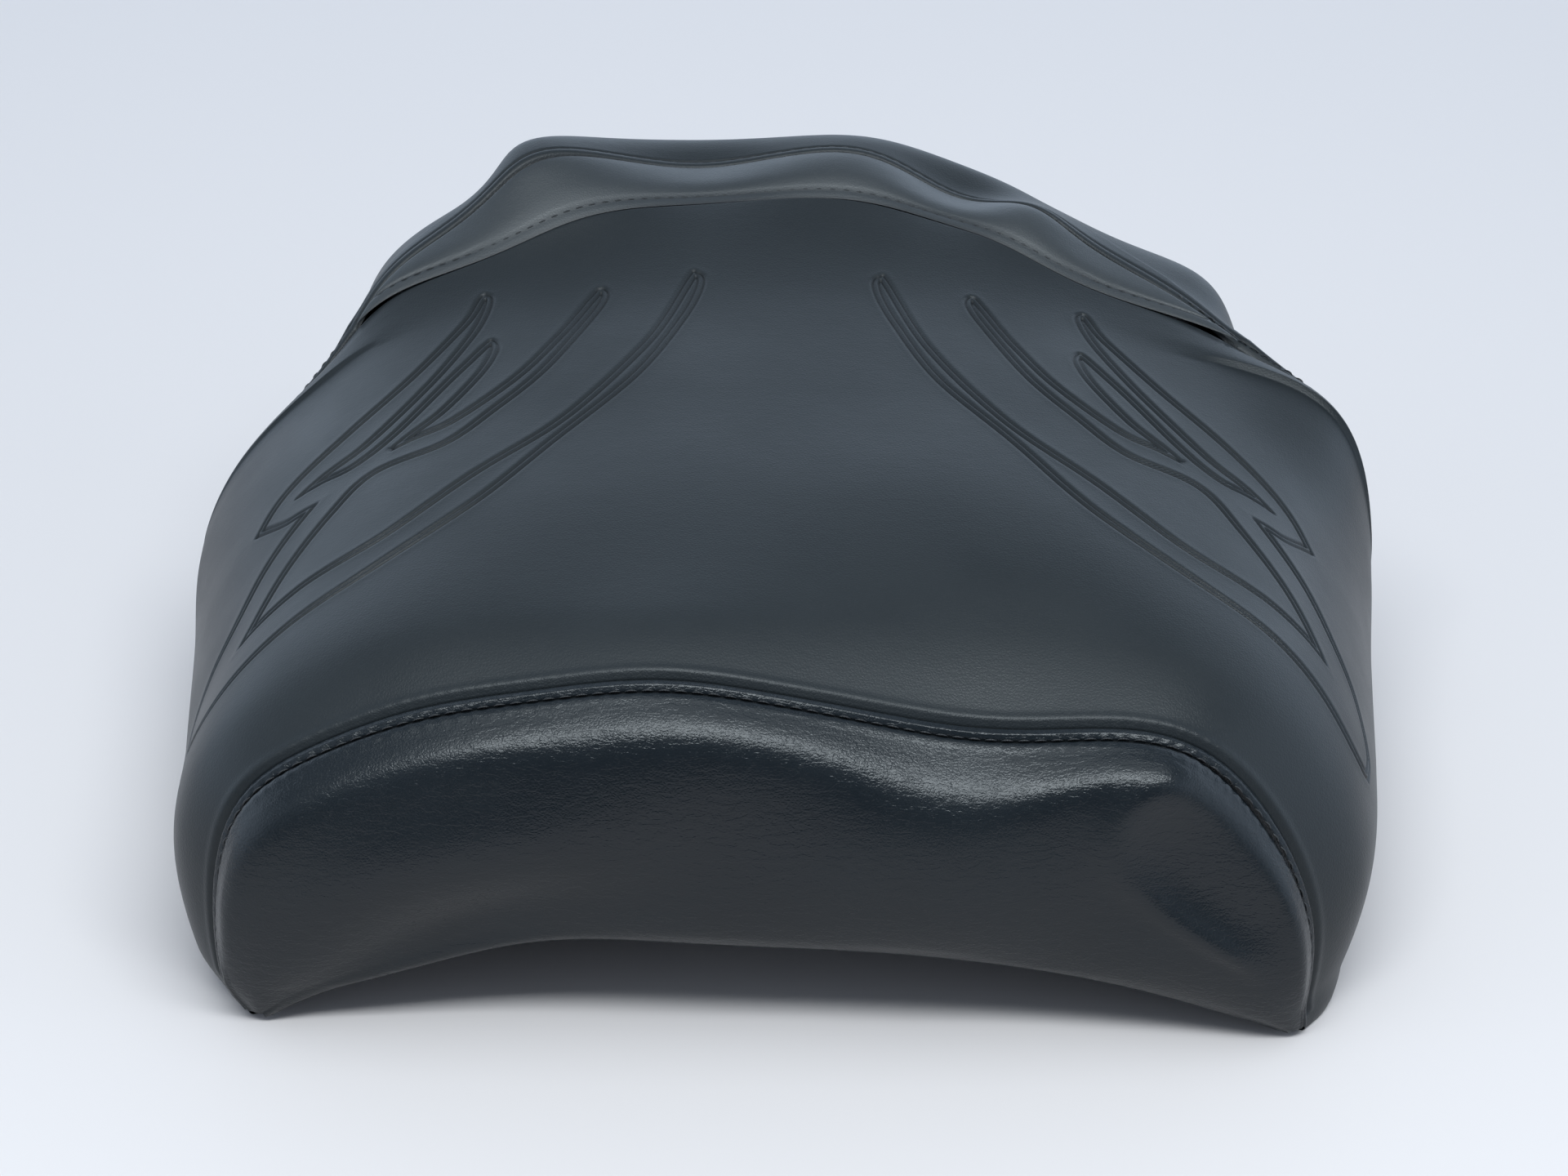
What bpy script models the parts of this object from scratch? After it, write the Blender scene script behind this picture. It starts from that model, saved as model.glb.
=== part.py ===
"""Passenger seat for a cruiser motorcycle, as separate pieces.

A moulded pan arches over the mudguard, a foam cushion sits on it, and a cover
of four sewn panels wraps both.  A steel tongue at the front slides under the
rider's seat, a steel tab at the rear is held by a captive thumb screw, and six
rubber bumpers carry the load.  +Z is up, +Y is towards the rear wheel, and the
origin is under the middle of the seat, on the surface that it stands on.

Lengths below are millimetres.  A mesh is turned into metres when it is made.
"""
from math import cos, pi, radians, sin

import bmesh
import bpy
import numpy as np
from mathutils import Matrix

METRES = 0.001
LENGTH_MIDDLE = 191.4        # front foot corners to the middle of the whole length

# Cover and cushion
COVER_THICKNESS = 1.5
FOAM_INSET = 5.5             # outer face of the cover to the foam
SEAM_GAP = 0.012             # clear space at a rear seam, in station units
WELT_RADIUS = 1.5
WELT_CLEAR = 0.14            # top panel starts this far behind the front seam, in station units
COLUMNS = 28                 # facets across a cover panel

# Stations along the seat, front seam first.  Each row describes one leaning section:
# foot y, crown y, crown z, foot half width, widest half width,
# squareness across, squareness up, how late the section leans back.
STATIONS = np.array([
    (2, 14, 106, 158, 163, 4.2, 3.6, 1.5),      # 0 front seam
    (22, 42, 119, 169, 181, 3.6, 3.2, 1.5),     # 1 behind the front seam
    (76, 98, 129, 178, 190, 3.0, 3.0, 1.5),     # 2
    (142, 170, 134, 184, 198, 2.8, 3.0, 1.8),   # 3 middle of the sitting area
    (192, 238, 140, 186, 204, 2.7, 3.2, 2.6),   # 4
    (220, 292, 154, 180, 202, 2.4, 3.4, 4.0),   # 5 lower rear seam
    (236, 318, 160, 170, 186, 2.6, 3.2, 4.0),   # 6 upper rear seam
    (268, 343, 158, 152, 165, 2.9, 3.0, 3.0),   # 7
    (296, 362, 130, 136, 146, 3.0, 2.6, 2.0),   # 8 back
    (314, 368, 84, 124, 131, 2.9, 2.4, 1.5),    # 9
    (322, 366, 34, 116, 119, 2.9, 2.2, 1.2),    # 10 rear hem
], float)
REAR_SEAM = 5.0              # station of the lower rear seam at the middle and at the sides
REAR_SEAM_DIP = 0.35         # how far it dips forward over the shoulders, in station units
BOLSTER_CREST = 6.0          # station of the upper rear seam at the middle
REAR_HEM = 10.0
WIDEST_HEIGHT = 0.42         # height of the widest line, as a share of the section's height
BOLSTER_REACH = 0.54         # how far across the crescent band reaches

# Front panel
FRONT_HEM_HEIGHT = 31.0
FRONT_HEM_POWER = 2.2
FRONT_CROWN = 16.0
FRONT_REACH = 0.97

# Base pan
PAN_THICKNESS = 3.0
PAN_FOOT = 4.0               # underside of the pan's edge above the ground
PAN_RISE = 31.0              # how far the pan arches above its edge
PAN_POWER = 3.0
PAN_EDGE_CLEAR = 11.0        # cover's foot to the pan's edge
FOAM_FOOT = 0.965            # where the foam's side ends, as a share of the half section

# Hardware
PLATE_THICKNESS = 3.0
PLATE_TOP = PAN_FOOT + PAN_RISE - 0.6
BOLT_RADIUS = 3.0
BOLT_CLEAR = 0.35
HEAD_ACROSS_FLATS = 10.0
HEAD_HEIGHT = 4.0
WASHER_THICKNESS = 1.2
TONGUE_WIDTH = 50.0
TONGUE_BOLT_X = 15.0
TONGUE_BOLT_Y = 88.0
REAR_TAB_WIDTH = 46.0
REAR_BOLT_X = 13.0
REAR_BOLT_Y = 310.0
SCREW_Y = 384.0
SCREW_RADIUS = 3.175         # quarter inch thread
KNOB_RADIUS = 10.0
KNOB_HEIGHT = 10.0
KNOB_FLUTES = 14
TAB_DROP = 9.5
BUMPER_RADIUS = 12.0
BUMPER_HEIGHT = 12.0
BUMPER_PLACES = {"front": (76.0, 45.0), "middle": (80.0, 170.0), "rear": (66.0, 285.0)}


# ---------------------------------------------------------------- shape of the seat

def station(t):
    """Section values at t, on a smooth curve through the stations."""
    first = min(max(int(np.floor(t)), 0), len(STATIONS) - 2)
    u = t - first
    a, b, c, d = (STATIONS[min(max(first + k, 0), len(STATIONS) - 1)] for k in (-1, 0, 1, 2))
    return 0.5 * (2 * b + (c - a) * u + (2 * a - 5 * b + 4 * c - d) * u**2
                  + (3 * b - a - 3 * c + d) * u**3)


def half_section(t, samples=241):
    """Points of the right half of one section, from the crown down to the foot."""
    foot_y, crown_y, crown_z, foot_w, wide_w, across, up, lean = station(t)
    angle = np.linspace(0, pi / 2, samples)
    height = np.clip(np.cos(angle), 0, 1) ** (2 / up)
    spread = np.sin(angle) ** (2 / across)
    swell = np.sin(pi / 2 * np.clip(height / WIDEST_HEIGHT, 0, 1))
    width = foot_w + (wide_w - foot_w) * swell
    return np.stack([width * spread, foot_y + (crown_y - foot_y) * height**lean, crown_z * height], -1)


def skin_point(s, t):
    """Point on the cover's outer face: s runs -1 to 1 from foot to foot over the crown."""
    points = half_section(t)
    run = np.concatenate([[0], np.cumsum(np.linalg.norm(np.diff(points, axis=0), axis=1))])
    place = [np.interp(abs(s) * run[-1], run, points[:, k]) for k in range(3)]
    place[0] *= np.sign(s)
    return np.array(place)


def skin(across, along, inset=0.0):
    """Grid on the cover, moved inwards by inset.  along(s, r) gives the station for row r."""
    step = 0.004
    rows = []
    for r in across["rows"]:
        row = []
        for s in across["columns"]:
            t = along(s, r)
            point = skin_point(s, t)
            if inset:
                low_s, high_s = max(s - step, -1), min(s + step, 1)
                low_t, high_t = max(t - 10 * step, 0), min(t + 10 * step, REAR_HEM)
                over = skin_point(high_s, t) - skin_point(low_s, t)
                back = skin_point(s, high_t) - skin_point(s, low_t)
                out = np.cross(over, back)
                point = point - inset * out / np.linalg.norm(out)
            row.append(point)
        rows.append(row)
    return np.array(rows)


def grid_lines(rows, reach=1.0, columns=COLUMNS):
    return {"rows": np.linspace(0, 1, rows + 1), "columns": np.linspace(-reach, reach, columns + 1)}


def lower_seam(s):
    """Station of the seam between the top panel and the crescent band."""
    return REAR_SEAM - REAR_SEAM_DIP * np.exp(-(((abs(s) - 0.37) / 0.17) ** 2))


def bolster_depth(s):
    """Depth of the crescent band at s, in station units: full in the middle, none at its tips."""
    share = np.clip(abs(s) / BOLSTER_REACH, 0, 1)
    return (BOLSTER_CREST - lower_seam(s)) * (1 - share**2.4) ** 0.8


def upper_seam(s):
    """Station of the seam between the crescent band and the back panel."""
    return lower_seam(s) + bolster_depth(s)


# ---------------------------------------------------------------- meshes and objects

def material(name, colour, roughness, metallic=0.0):
    made = bpy.data.materials.new(name)
    made.use_nodes = True
    shader = made.node_tree.nodes["Principled BSDF"]
    shader.inputs["Base Color"].default_value = (*colour, 1)
    shader.inputs["Roughness"].default_value = roughness
    shader.inputs["Metallic"].default_value = metallic
    return made


def add_object(name, bm, look, place=(0, 0, 0), smooth=True):
    """Turn a bmesh in seat millimetres into an object whose origin is at place."""
    bmesh.ops.remove_doubles(bm, verts=bm.verts, dist=0.002)
    bmesh.ops.dissolve_degenerate(bm, edges=bm.edges, dist=0.002)
    bmesh.ops.recalc_face_normals(bm, faces=bm.faces)
    origin = np.array(place, float)
    bmesh.ops.translate(bm, verts=bm.verts, vec=tuple(-origin))
    bmesh.ops.scale(bm, verts=bm.verts, vec=(METRES,) * 3)
    mesh = bpy.data.meshes.new(name)
    bm.to_mesh(mesh)
    bm.free()
    if smooth:
        mesh.shade_smooth()
        mesh.set_sharp_from_angle(angle=radians(35))
    made = bpy.data.objects.new(name, mesh)
    made.location = tuple((origin - (0, LENGTH_MIDDLE, 0)) * METRES)
    made.data.materials.append(look)
    bpy.context.collection.objects.link(made)
    return made


def add_grid(bm, grid):
    """Quads over a grid of points; neighbouring grids are welded later."""
    verts = [[bm.verts.new(tuple(point)) for point in row] for row in grid]
    for upper, lower in zip(verts, verts[1:]):
        for k in range(len(upper) - 1):
            bm.faces.new((upper[k], upper[k + 1], lower[k + 1], lower[k]))


def closed_shell(outer, inner):
    """One closed body between two grids of the same size."""
    bm = bmesh.new()
    add_grid(bm, outer)
    add_grid(bm, inner[::-1])
    for edge in (0, -1):
        add_grid(bm, np.stack([outer[edge], inner[edge]]))
        add_grid(bm, np.stack([outer[:, edge], inner[:, edge]]))
    return bm


def between(first, last, steps, crown=0.0):
    """Grid from one line to another, pushed by crown along Y in its middle."""
    rows = []
    for r in np.linspace(0, 1, steps + 1):
        row = first * (1 - r) + last * r
        row[:, 1] += crown * sin(pi * r)
        rows.append(row)
    return np.array(rows)


def lathe(bm, profile, centre, segments=18):
    """Turned piece about a vertical axis; profile is (radius, z) from its lowest inner point."""
    rings = []
    for radius, z in profile:
        ring = []
        for k in range(segments + 1):
            angle = 2 * pi * (k % segments) / segments
            ring.append((centre[0] + radius * cos(angle), centre[1] + radius * sin(angle), z))
        rings.append(ring)
    add_grid(bm, np.array(rings))


def prism(bm, outline, low, high):
    """Upright prism on an (x, y) outline."""
    bottom = [bm.verts.new((x, y, low)) for x, y in outline]
    top = [bm.verts.new((x, y, high)) for x, y in outline]
    bm.faces.new(bottom[::-1])
    bm.faces.new(top)
    for k in range(len(outline)):
        after = (k + 1) % len(outline)
        bm.faces.new((bottom[k], bottom[after], top[after], top[k]))


def circle(radius, centre, segments=20):
    return [(centre[0] + radius * cos(2 * pi * k / segments), centre[1] + radius * sin(2 * pi * k / segments))
            for k in range(segments)]


def cut_holes(target, places, radius, low, high):
    """Drill vertical holes, or sink pockets, into an object."""
    bm = bmesh.new()
    for place in places:
        prism(bm, circle(radius, place), low, high)
    cutter = add_object(target.name + "_cutter", bm, target.data.materials[0], smooth=False)
    cutter.hide_render = True
    cutter.display_type = "WIRE"
    cut = target.modifiers.new("holes", "BOOLEAN")
    cut.operation = "DIFFERENCE"
    cut.object = cutter


# ---------------------------------------------------------------- cover

def cover_panel(name, lines, along, look):
    outer = skin(lines, along)
    inner = skin(lines, along, COVER_THICKNESS)
    inner[:, :, 2] = np.maximum(inner[:, :, 2], 0)
    return add_object(name, closed_shell(outer, inner), look)


def front_hem(columns, rise=0.3):
    """Lower edge of the front panel: an arch from foot corner to foot corner."""
    half = STATIONS[0][3] - 3.0
    return np.array([(half * q, -2.0 - 4 * (1 - q * q), rise + (FRONT_HEM_HEIGHT - rise)
                      * (1 - abs(q) ** FRONT_HEM_POWER)) for q in columns])


def front_edge(columns, inset):
    """Line just inside the front seam, set in from it within the panel's face."""
    line = []
    for q in columns:
        s = q * FRONT_REACH
        run = skin_point(s + 0.004, 0) - skin_point(s - 0.004, 0)
        inward = np.array([run[2], 0, -run[0]]) / np.hypot(run[0], run[2])
        line.append(skin_point(s, 0) + inset * inward)
    return np.array(line)


def front_panel(look):
    columns = np.linspace(-1, 1, COLUMNS + 1)
    top = front_edge(columns, WELT_RADIUS + 0.5)
    outer = between(top, front_hem(columns), 6)
    crown = np.sin(pi * np.linspace(0, 1, 7))[:, None] * (1 - np.abs(columns) ** 6)[None, :]
    outer[:, :, 1] -= FRONT_CROWN * crown
    inner = outer + (0, COVER_THICKNESS, 0)
    return add_object("cover_front_panel", closed_shell(outer, inner), look)


def seam_welt(look):
    """Raised roll along the front seam, a closed tube of eight sides."""
    bm = bmesh.new()
    path = [skin_point(s, 0) for s in np.linspace(-0.98, 0.98, COLUMNS + 1)]
    rings = []
    for k, centre in enumerate(path):
        run = path[min(k + 1, len(path) - 1)] - path[max(k - 1, 0)]
        side = np.cross(run, (0, 1, 0))
        side /= np.linalg.norm(side)
        up = np.cross(side, run)
        up /= np.linalg.norm(up)
        rings.append([centre + WELT_RADIUS * (cos(a) * side + sin(a) * up)
                      for a in [2 * pi * (j % 8) / 8 for j in range(9)]])
    add_grid(bm, np.array(rings))
    for ring in (rings[0], rings[-1]):
        bm.faces.new([bm.verts.new(tuple(point)) for point in ring[:8]])
    return add_object("front_seam_welt", bm, look)


# ---------------------------------------------------------------- cushion and pan

def under_line(columns, edge, foot_z, rise, bow):
    """Arched line under the seat between two feet, bowed along Y in its middle."""
    return np.array([(edge[0] * q, edge[1] + bow * (1 - abs(q) ** 2.4),
                      foot_z + rise * (1 - abs(q) ** PAN_POWER)) for q in columns])


def plan_bow(t):
    """How far the middle of an under line lies behind its ends."""
    return np.interp(t, [0, 1, 7, 9, REAR_HEM], [0, 1, 8, 30, 40])


def foam_cushion(look):
    stops = np.concatenate([np.linspace(0.45, 5, 11), np.linspace(5.5, 9.4, 9)])
    lines = {"rows": stops, "columns": np.linspace(-FOAM_FOOT, FOAM_FOOT, COLUMNS + 1)}
    top = skin(lines, lambda s, t: t, FOAM_INSET)
    columns = np.linspace(-1, 1, COLUMNS + 1)
    under = np.array([under_line(columns, row[-1], row[-1][2],
                                 PAN_FOOT + PAN_RISE + PAN_THICKNESS + 0.8 - row[-1][2], plan_bow(t))
                      for row, t in zip(top, stops)])
    bm = bmesh.new()
    add_grid(bm, top)
    add_grid(bm, under)
    add_grid(bm, between(top[0], under[0], 4, crown=-5.0))
    add_grid(bm, between(top[-1], under[-1], 2))
    made = add_object("foam_cushion", bm, look)
    pocket_top = PAN_FOOT + PAN_RISE + PAN_THICKNESS + 7.0
    cut_holes(made, bolt_places(), 11.0, PAN_FOOT + PAN_RISE, pocket_top)
    return made


def pan_half_width(y):
    return np.interp(y, STATIONS[:, 0], STATIONS[:, 3]) - PAN_EDGE_CLEAR


def pan_grid(lift):
    columns = np.linspace(-1, 1, 21)
    rows = []
    for y, bow in ((6, -5), (30, -3), (80, 0), (140, 2), (200, 5), (250, 12), (285, 24), (308, 36),
                   (318, 42)):
        rows.append(under_line(columns, (pan_half_width(y), y), PAN_FOOT + lift, PAN_RISE, bow))
    return np.array(rows)


def base_pan(look):
    made = add_object("base_pan", closed_shell(pan_grid(PAN_THICKNESS), pan_grid(0)), look)
    cut_holes(made, bolt_places(), BOLT_RADIUS + 1.9, PAN_FOOT + PAN_RISE - 10, PAN_FOOT + PAN_RISE + 10)
    return made


# ---------------------------------------------------------------- hardware

def bolt_places():
    return [(side * x, y) for x, y in ((TONGUE_BOLT_X, TONGUE_BOLT_Y), (REAR_BOLT_X, REAR_BOLT_Y))
            for side in (-1, 1)]


def bent_plate(name, path, width, look):
    """Steel strap of one width, bent along a (y, z) path along its top face, front to rear."""
    bm = bmesh.new()
    path = np.array(path, float)
    runs = np.diff(path, axis=0)
    normals = np.stack([runs[:, 1], -runs[:, 0]], -1) / np.linalg.norm(runs, axis=1)[:, None]
    lower = []
    for k, point in enumerate(path):
        first = normals[max(k - 1, 0)]
        last = normals[min(k, len(normals) - 1)]
        mitre = (first + last) / (1 + first @ last)
        lower.append(point + mitre * PLATE_THICKNESS)
    lower = np.array(lower)
    sides = [[np.array([(x, y, z) for y, z in line]) for line in (path, lower)]
             for x in (-width / 2, width / 2)]
    for upper_line, lower_line in sides:
        add_grid(bm, np.stack([upper_line, lower_line]))
    for face in (0, 1):
        add_grid(bm, np.stack([sides[0][face], sides[1][face]]))
    for end in (0, -1):
        bm.faces.new([bm.verts.new(tuple(sides[a][b][end])) for a, b in ((0, 0), (0, 1), (1, 1), (1, 0))])
    return add_object(name, bm, look, smooth=False)


def front_tongue(look):
    low = PLATE_TOP - 8.0
    path = [(22, low), (55, low), (59, low + 1.4), (64, PLATE_TOP - 1.4), (68, PLATE_TOP), (106, PLATE_TOP)]
    made = bent_plate("front_tongue_bracket", path, TONGUE_WIDTH, look)
    cut_holes(made, bolt_places()[:2], BOLT_RADIUS + BOLT_CLEAR, 0, PLATE_TOP + 10)
    return made


def rear_tab(look):
    low = PLATE_TOP - TAB_DROP
    path = [(292, PLATE_TOP), (332, PLATE_TOP), (336, PLATE_TOP - 1.4), (342, low + 1.4), (346, low),
            (396, low)]
    made = bent_plate("rear_tab_bracket", path, REAR_TAB_WIDTH, look)
    cut_holes(made, bolt_places()[2:] + [(0, SCREW_Y)], BOLT_RADIUS + BOLT_CLEAR, 0, PLATE_TOP + 10)
    return made


def bolt(name, place, look):
    """Hex bolt from below, its shank in one piece with the head."""
    bottom = PLATE_TOP - PLATE_THICKNESS - WASHER_THICKNESS - 0.8 - HEAD_HEIGHT
    tip = PAN_FOOT + PAN_RISE + PAN_THICKNESS + 4.0
    half = HEAD_ACROSS_FLATS / 2
    sides = 18
    profile = [(0, bottom), (half * 0.8, bottom), (half, bottom + 0.7), (half, bottom + HEAD_HEIGHT),
               (BOLT_RADIUS, bottom + HEAD_HEIGHT), (BOLT_RADIUS, tip - 0.8), (BOLT_RADIUS - 0.8, tip),
               (0, tip)]
    rings = []
    for radius, z in profile:
        ring = []
        for k in range(sides + 1):
            angle = 2 * pi * (k % sides) / sides
            flat = cos((angle + pi / 6) % (pi / 3) - pi / 6) if radius > BOLT_RADIUS else 1.0
            ring.append((place[0] + radius / flat * cos(angle), place[1] + radius / flat * sin(angle), z))
        rings.append(ring)
    bm = bmesh.new()
    add_grid(bm, np.array(rings))
    return add_object(name, bm, look)


def flat_ring(place, inner, outer, low, high, chamfer=0.3):
    """Flat ring with chamfered outer edges."""
    bm = bmesh.new()
    profile = [(inner, low), (outer - chamfer, low), (outer, low + chamfer), (outer, high - chamfer),
               (outer - chamfer, high), (inner, high), (inner, low)]
    lathe(bm, profile, place)
    return bm


def lock_washer(name, place, look):
    high = PLATE_TOP - PLATE_THICKNESS - 0.4
    bm = flat_ring(place, BOLT_RADIUS + BOLT_CLEAR, 6.5, high - WASHER_THICKNESS, high)
    return add_object(name, bm, look)


def flange_nut(name, place, look):
    """T-nut set into the pan from above: a wide flange with a barrel in the hole."""
    flange = PAN_FOOT + PAN_RISE + PAN_THICKNESS + 0.4
    inner = BOLT_RADIUS + BOLT_CLEAR
    barrel = BOLT_RADIUS + 1.5
    bm = bmesh.new()
    profile = [(inner, flange - 2.6), (barrel, flange - 2.6), (barrel, flange), (9.0, flange),
               (9.0, flange + 1.2),
               (8.6, flange + 1.5), (inner, flange + 1.5), (inner, flange - 2.6)]
    lathe(bm, profile, place)
    return add_object(name, bm, look)


def pan_underside(x, y):
    return PAN_FOOT + PAN_RISE * (1 - abs(x / pan_half_width(y)) ** PAN_POWER)


def bumper(name, place, look):
    """Rubber bumper seated square to the sloping pan, with a rounded foot and a dished face."""
    x, y = place
    r = BUMPER_RADIUS
    profile = [(0, -BUMPER_HEIGHT), (r - 2.0, -BUMPER_HEIGHT), (r - 0.6, -BUMPER_HEIGHT + 0.6),
               (r, -BUMPER_HEIGHT + 2.0), (r, -3.0), (r - 1.5, -2.0), (r - 1.5, 0), (0, 0)]
    bm = bmesh.new()
    lathe(bm, profile, (0, 0))
    slope = (pan_underside(x + 1, y) - pan_underside(x - 1, y)) / 2
    tilt = Matrix.Rotation(-np.arctan(slope), 4, "Y")
    bmesh.ops.transform(bm, matrix=tilt, verts=bm.verts)
    bmesh.ops.translate(bm, verts=bm.verts, vec=(x, y, pan_underside(x, y) - 1.3))
    return add_object(name, bm, look)


def captive_washer(look):
    """Nylon washer that stays on the thumb screw and rests on the rear tab."""
    low = PLATE_TOP - TAB_DROP + 0.3
    bm = flat_ring((0, SCREW_Y), SCREW_RADIUS + BOLT_CLEAR, 8.5, low, low + 1.5)
    return add_object("captive_washer", bm, look, place=(0, SCREW_Y, low))


def thumb_screw(look):
    """Fluted knob on a threaded shank, turned about the vertical axis through the tab."""
    flutes = 2 * KNOB_FLUTES
    low = PLATE_TOP - TAB_DROP + 2.1
    top = low + KNOB_HEIGHT
    tip = low - 17.0
    profile = [(0, tip), (SCREW_RADIUS - 0.8, tip), (SCREW_RADIUS, tip + 1.0), (SCREW_RADIUS, low),
               (KNOB_RADIUS - 2.2, low), (KNOB_RADIUS, low + 1.2), (KNOB_RADIUS, top - 1.2),
               (KNOB_RADIUS - 1.2, top), (KNOB_RADIUS - 4.0, top), (KNOB_RADIUS - 4.4, top - 0.8),
               (0, top - 0.8)]
    rings = []
    for radius, z in profile:
        ring = []
        for k in range(flutes + 1):
            angle = 2 * pi * (k % flutes) / flutes
            cut = 0.8 if radius >= KNOB_RADIUS and k % 2 else 0.0
            ring.append(((radius - cut) * cos(angle), SCREW_Y + (radius - cut) * sin(angle), z))
        rings.append(ring)
    bm = bmesh.new()
    add_grid(bm, np.array(rings))
    return add_object("thumb_screw", bm, look, place=(0, SCREW_Y, low))


# ---------------------------------------------------------------- the seat

def build():
    for existing in list(bpy.data.objects):
        bpy.data.objects.remove(existing, do_unlink=True)

    top_vinyl = material("matte_vinyl", (0.055, 0.065, 0.075), 0.5)
    gloss_vinyl = material("gloss_vinyl", (0.04, 0.047, 0.055), 0.32)
    foam = material("moulded_foam", (0.42, 0.38, 0.30), 0.95)
    plastic = material("pan_plastic", (0.02, 0.02, 0.022), 0.6)
    steel = material("zinc_steel", (0.55, 0.56, 0.58), 0.35, 1.0)
    black_steel = material("black_steel", (0.03, 0.03, 0.03), 0.4, 0.6)
    rubber = material("bumper_rubber", (0.02, 0.02, 0.02), 0.8)
    nylon = material("nylon", (0.75, 0.74, 0.70), 0.5)

    cover_panel("cover_top_panel", grid_lines(11),
                lambda s, r: WELT_CLEAR + r * (lower_seam(s) - SEAM_GAP - WELT_CLEAR), top_vinyl)
    cover_panel("cover_bolster_panel", grid_lines(3, BOLSTER_REACH * 0.985, 18),
                lambda s, r: lower_seam(s) + SEAM_GAP + r * max(bolster_depth(s) - 2 * SEAM_GAP, SEAM_GAP),
                top_vinyl)
    cover_panel("cover_back_panel", grid_lines(9),
                lambda s, r: upper_seam(s) + 2 * SEAM_GAP + r * (REAR_HEM - upper_seam(s) - 2 * SEAM_GAP),
                top_vinyl)
    front_panel(gloss_vinyl)
    seam_welt(gloss_vinyl)
    foam_cushion(foam)
    base_pan(plastic)

    front_tongue(black_steel)
    rear_tab(black_steel)
    names = ("front_left", "front_right", "rear_left", "rear_right")
    for name, place in zip(names, bolt_places()):
        bolt("bolt_" + name, place, steel)
        lock_washer("lock_washer_" + name, place, steel)
        flange_nut("t_nut_" + name, place, steel)
    for row, (x, y) in BUMPER_PLACES.items():
        for side, sign in (("left", -1), ("right", 1)):
            bumper("bumper_" + row + "_" + side, (sign * x, y), rubber)
    captive_washer(nylon)
    thumb_screw(steel)


build()
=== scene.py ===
"""Looks of the motorcycle passenger seat: its slack vinyl cover, seams, pressed flame lines and finishes.

The CAD model is loaded as a fixed frame.  Lengths here are seat millimetres, with
y = 0 at the front foot corners and z = 0 on the ground, turned into metres when a mesh is made.
The cover is first described as a symmetric shape.  Relief is added along its normals, and
last it is pulled into the slack shape of a cover whose foam has settled.
"""

from math import cos, pi, radians, sin

import bpy
import numpy as np
from mathutils import Matrix, Vector
from mathutils.kdtree import KDTree


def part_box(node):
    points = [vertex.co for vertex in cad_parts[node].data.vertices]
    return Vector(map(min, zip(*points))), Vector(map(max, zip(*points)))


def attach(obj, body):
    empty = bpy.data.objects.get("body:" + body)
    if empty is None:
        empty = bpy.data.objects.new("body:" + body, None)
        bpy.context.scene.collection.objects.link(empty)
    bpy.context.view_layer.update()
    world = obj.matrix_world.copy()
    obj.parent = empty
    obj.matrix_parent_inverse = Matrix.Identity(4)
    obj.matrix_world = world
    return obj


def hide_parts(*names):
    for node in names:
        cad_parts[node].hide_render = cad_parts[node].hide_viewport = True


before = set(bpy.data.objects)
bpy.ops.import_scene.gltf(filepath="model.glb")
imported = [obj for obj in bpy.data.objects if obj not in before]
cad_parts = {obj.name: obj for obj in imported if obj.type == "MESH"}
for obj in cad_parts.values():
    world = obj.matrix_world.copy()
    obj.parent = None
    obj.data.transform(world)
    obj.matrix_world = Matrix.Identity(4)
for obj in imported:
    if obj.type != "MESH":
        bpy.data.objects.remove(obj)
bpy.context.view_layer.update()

METRES = 0.001
SCREW_Y = 384.0              # thumb screw's axis, in seat millimetres
LENGTH_MIDDLE = SCREW_Y - sum(corner[1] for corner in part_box("thumb_screw")) / (2 * METRES)

# ---- driving dimensions

# Stations along the seat, front seam first.  Each row describes one leaning section:
# foot y, crown y, crown z, foot half width, widest half width,
# squareness across, squareness up, how late the section leans back.
STATIONS = np.array([
    (2, 14, 106, 158, 163, 4.2, 3.6, 1.5),      # 0 front seam
    (22, 42, 119, 169, 181, 3.6, 3.2, 1.5),     # 1 behind the front seam
    (76, 98, 129, 178, 190, 3.0, 3.0, 1.5),     # 2
    (142, 170, 134, 184, 198, 2.8, 3.0, 1.8),   # 3 middle of the sitting area
    (192, 238, 140, 186, 204, 2.7, 3.2, 2.6),   # 4
    (220, 292, 154, 180, 202, 2.4, 3.4, 4.0),   # 5 lower rear seam
    (236, 318, 160, 170, 186, 2.6, 3.2, 4.0),   # 6 upper rear seam
    (268, 343, 158, 152, 165, 2.9, 3.0, 3.0),   # 7
    (296, 362, 130, 136, 146, 3.0, 2.6, 2.0),   # 8 back
    (314, 368, 84, 124, 131, 2.9, 2.4, 1.5),    # 9
    (322, 366, 34, 116, 119, 2.9, 2.2, 1.2),    # 10 rear hem
], float)
WIDEST_HEIGHT = 0.42         # height of the widest line, as a share of the section's height
REAR_SEAM = 5.0              # station of the lower rear seam
REAR_SEAM_DIP = 0.35         # how far forward it comes on both sides, in stations
BOLSTER_REACH = 0.54         # how far across the crescent band reaches
BOLSTER_CREST = 6.0          # station of the upper rear seam in the middle
REAR_HEM = 10.0
LAST_STATION = REAR_HEM - 0.03  # where the back panel's face ends and its fold starts
TABLE_HALF = 160             # table steps from the crown to a foot
TABLE_STEPS = 40             # table steps from one station to the next

FRONT_HEM_HALF = 155.0
FRONT_HEM_FOOT = 0.3         # hem above the ground at the two feet
FRONT_HEM_HEIGHT = 31.0      # and in the middle of its arch
FRONT_HEM_POWER = 2.2
FRONT_REACH = 0.985          # share of the front seam that the front panel and its strip cover

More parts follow.
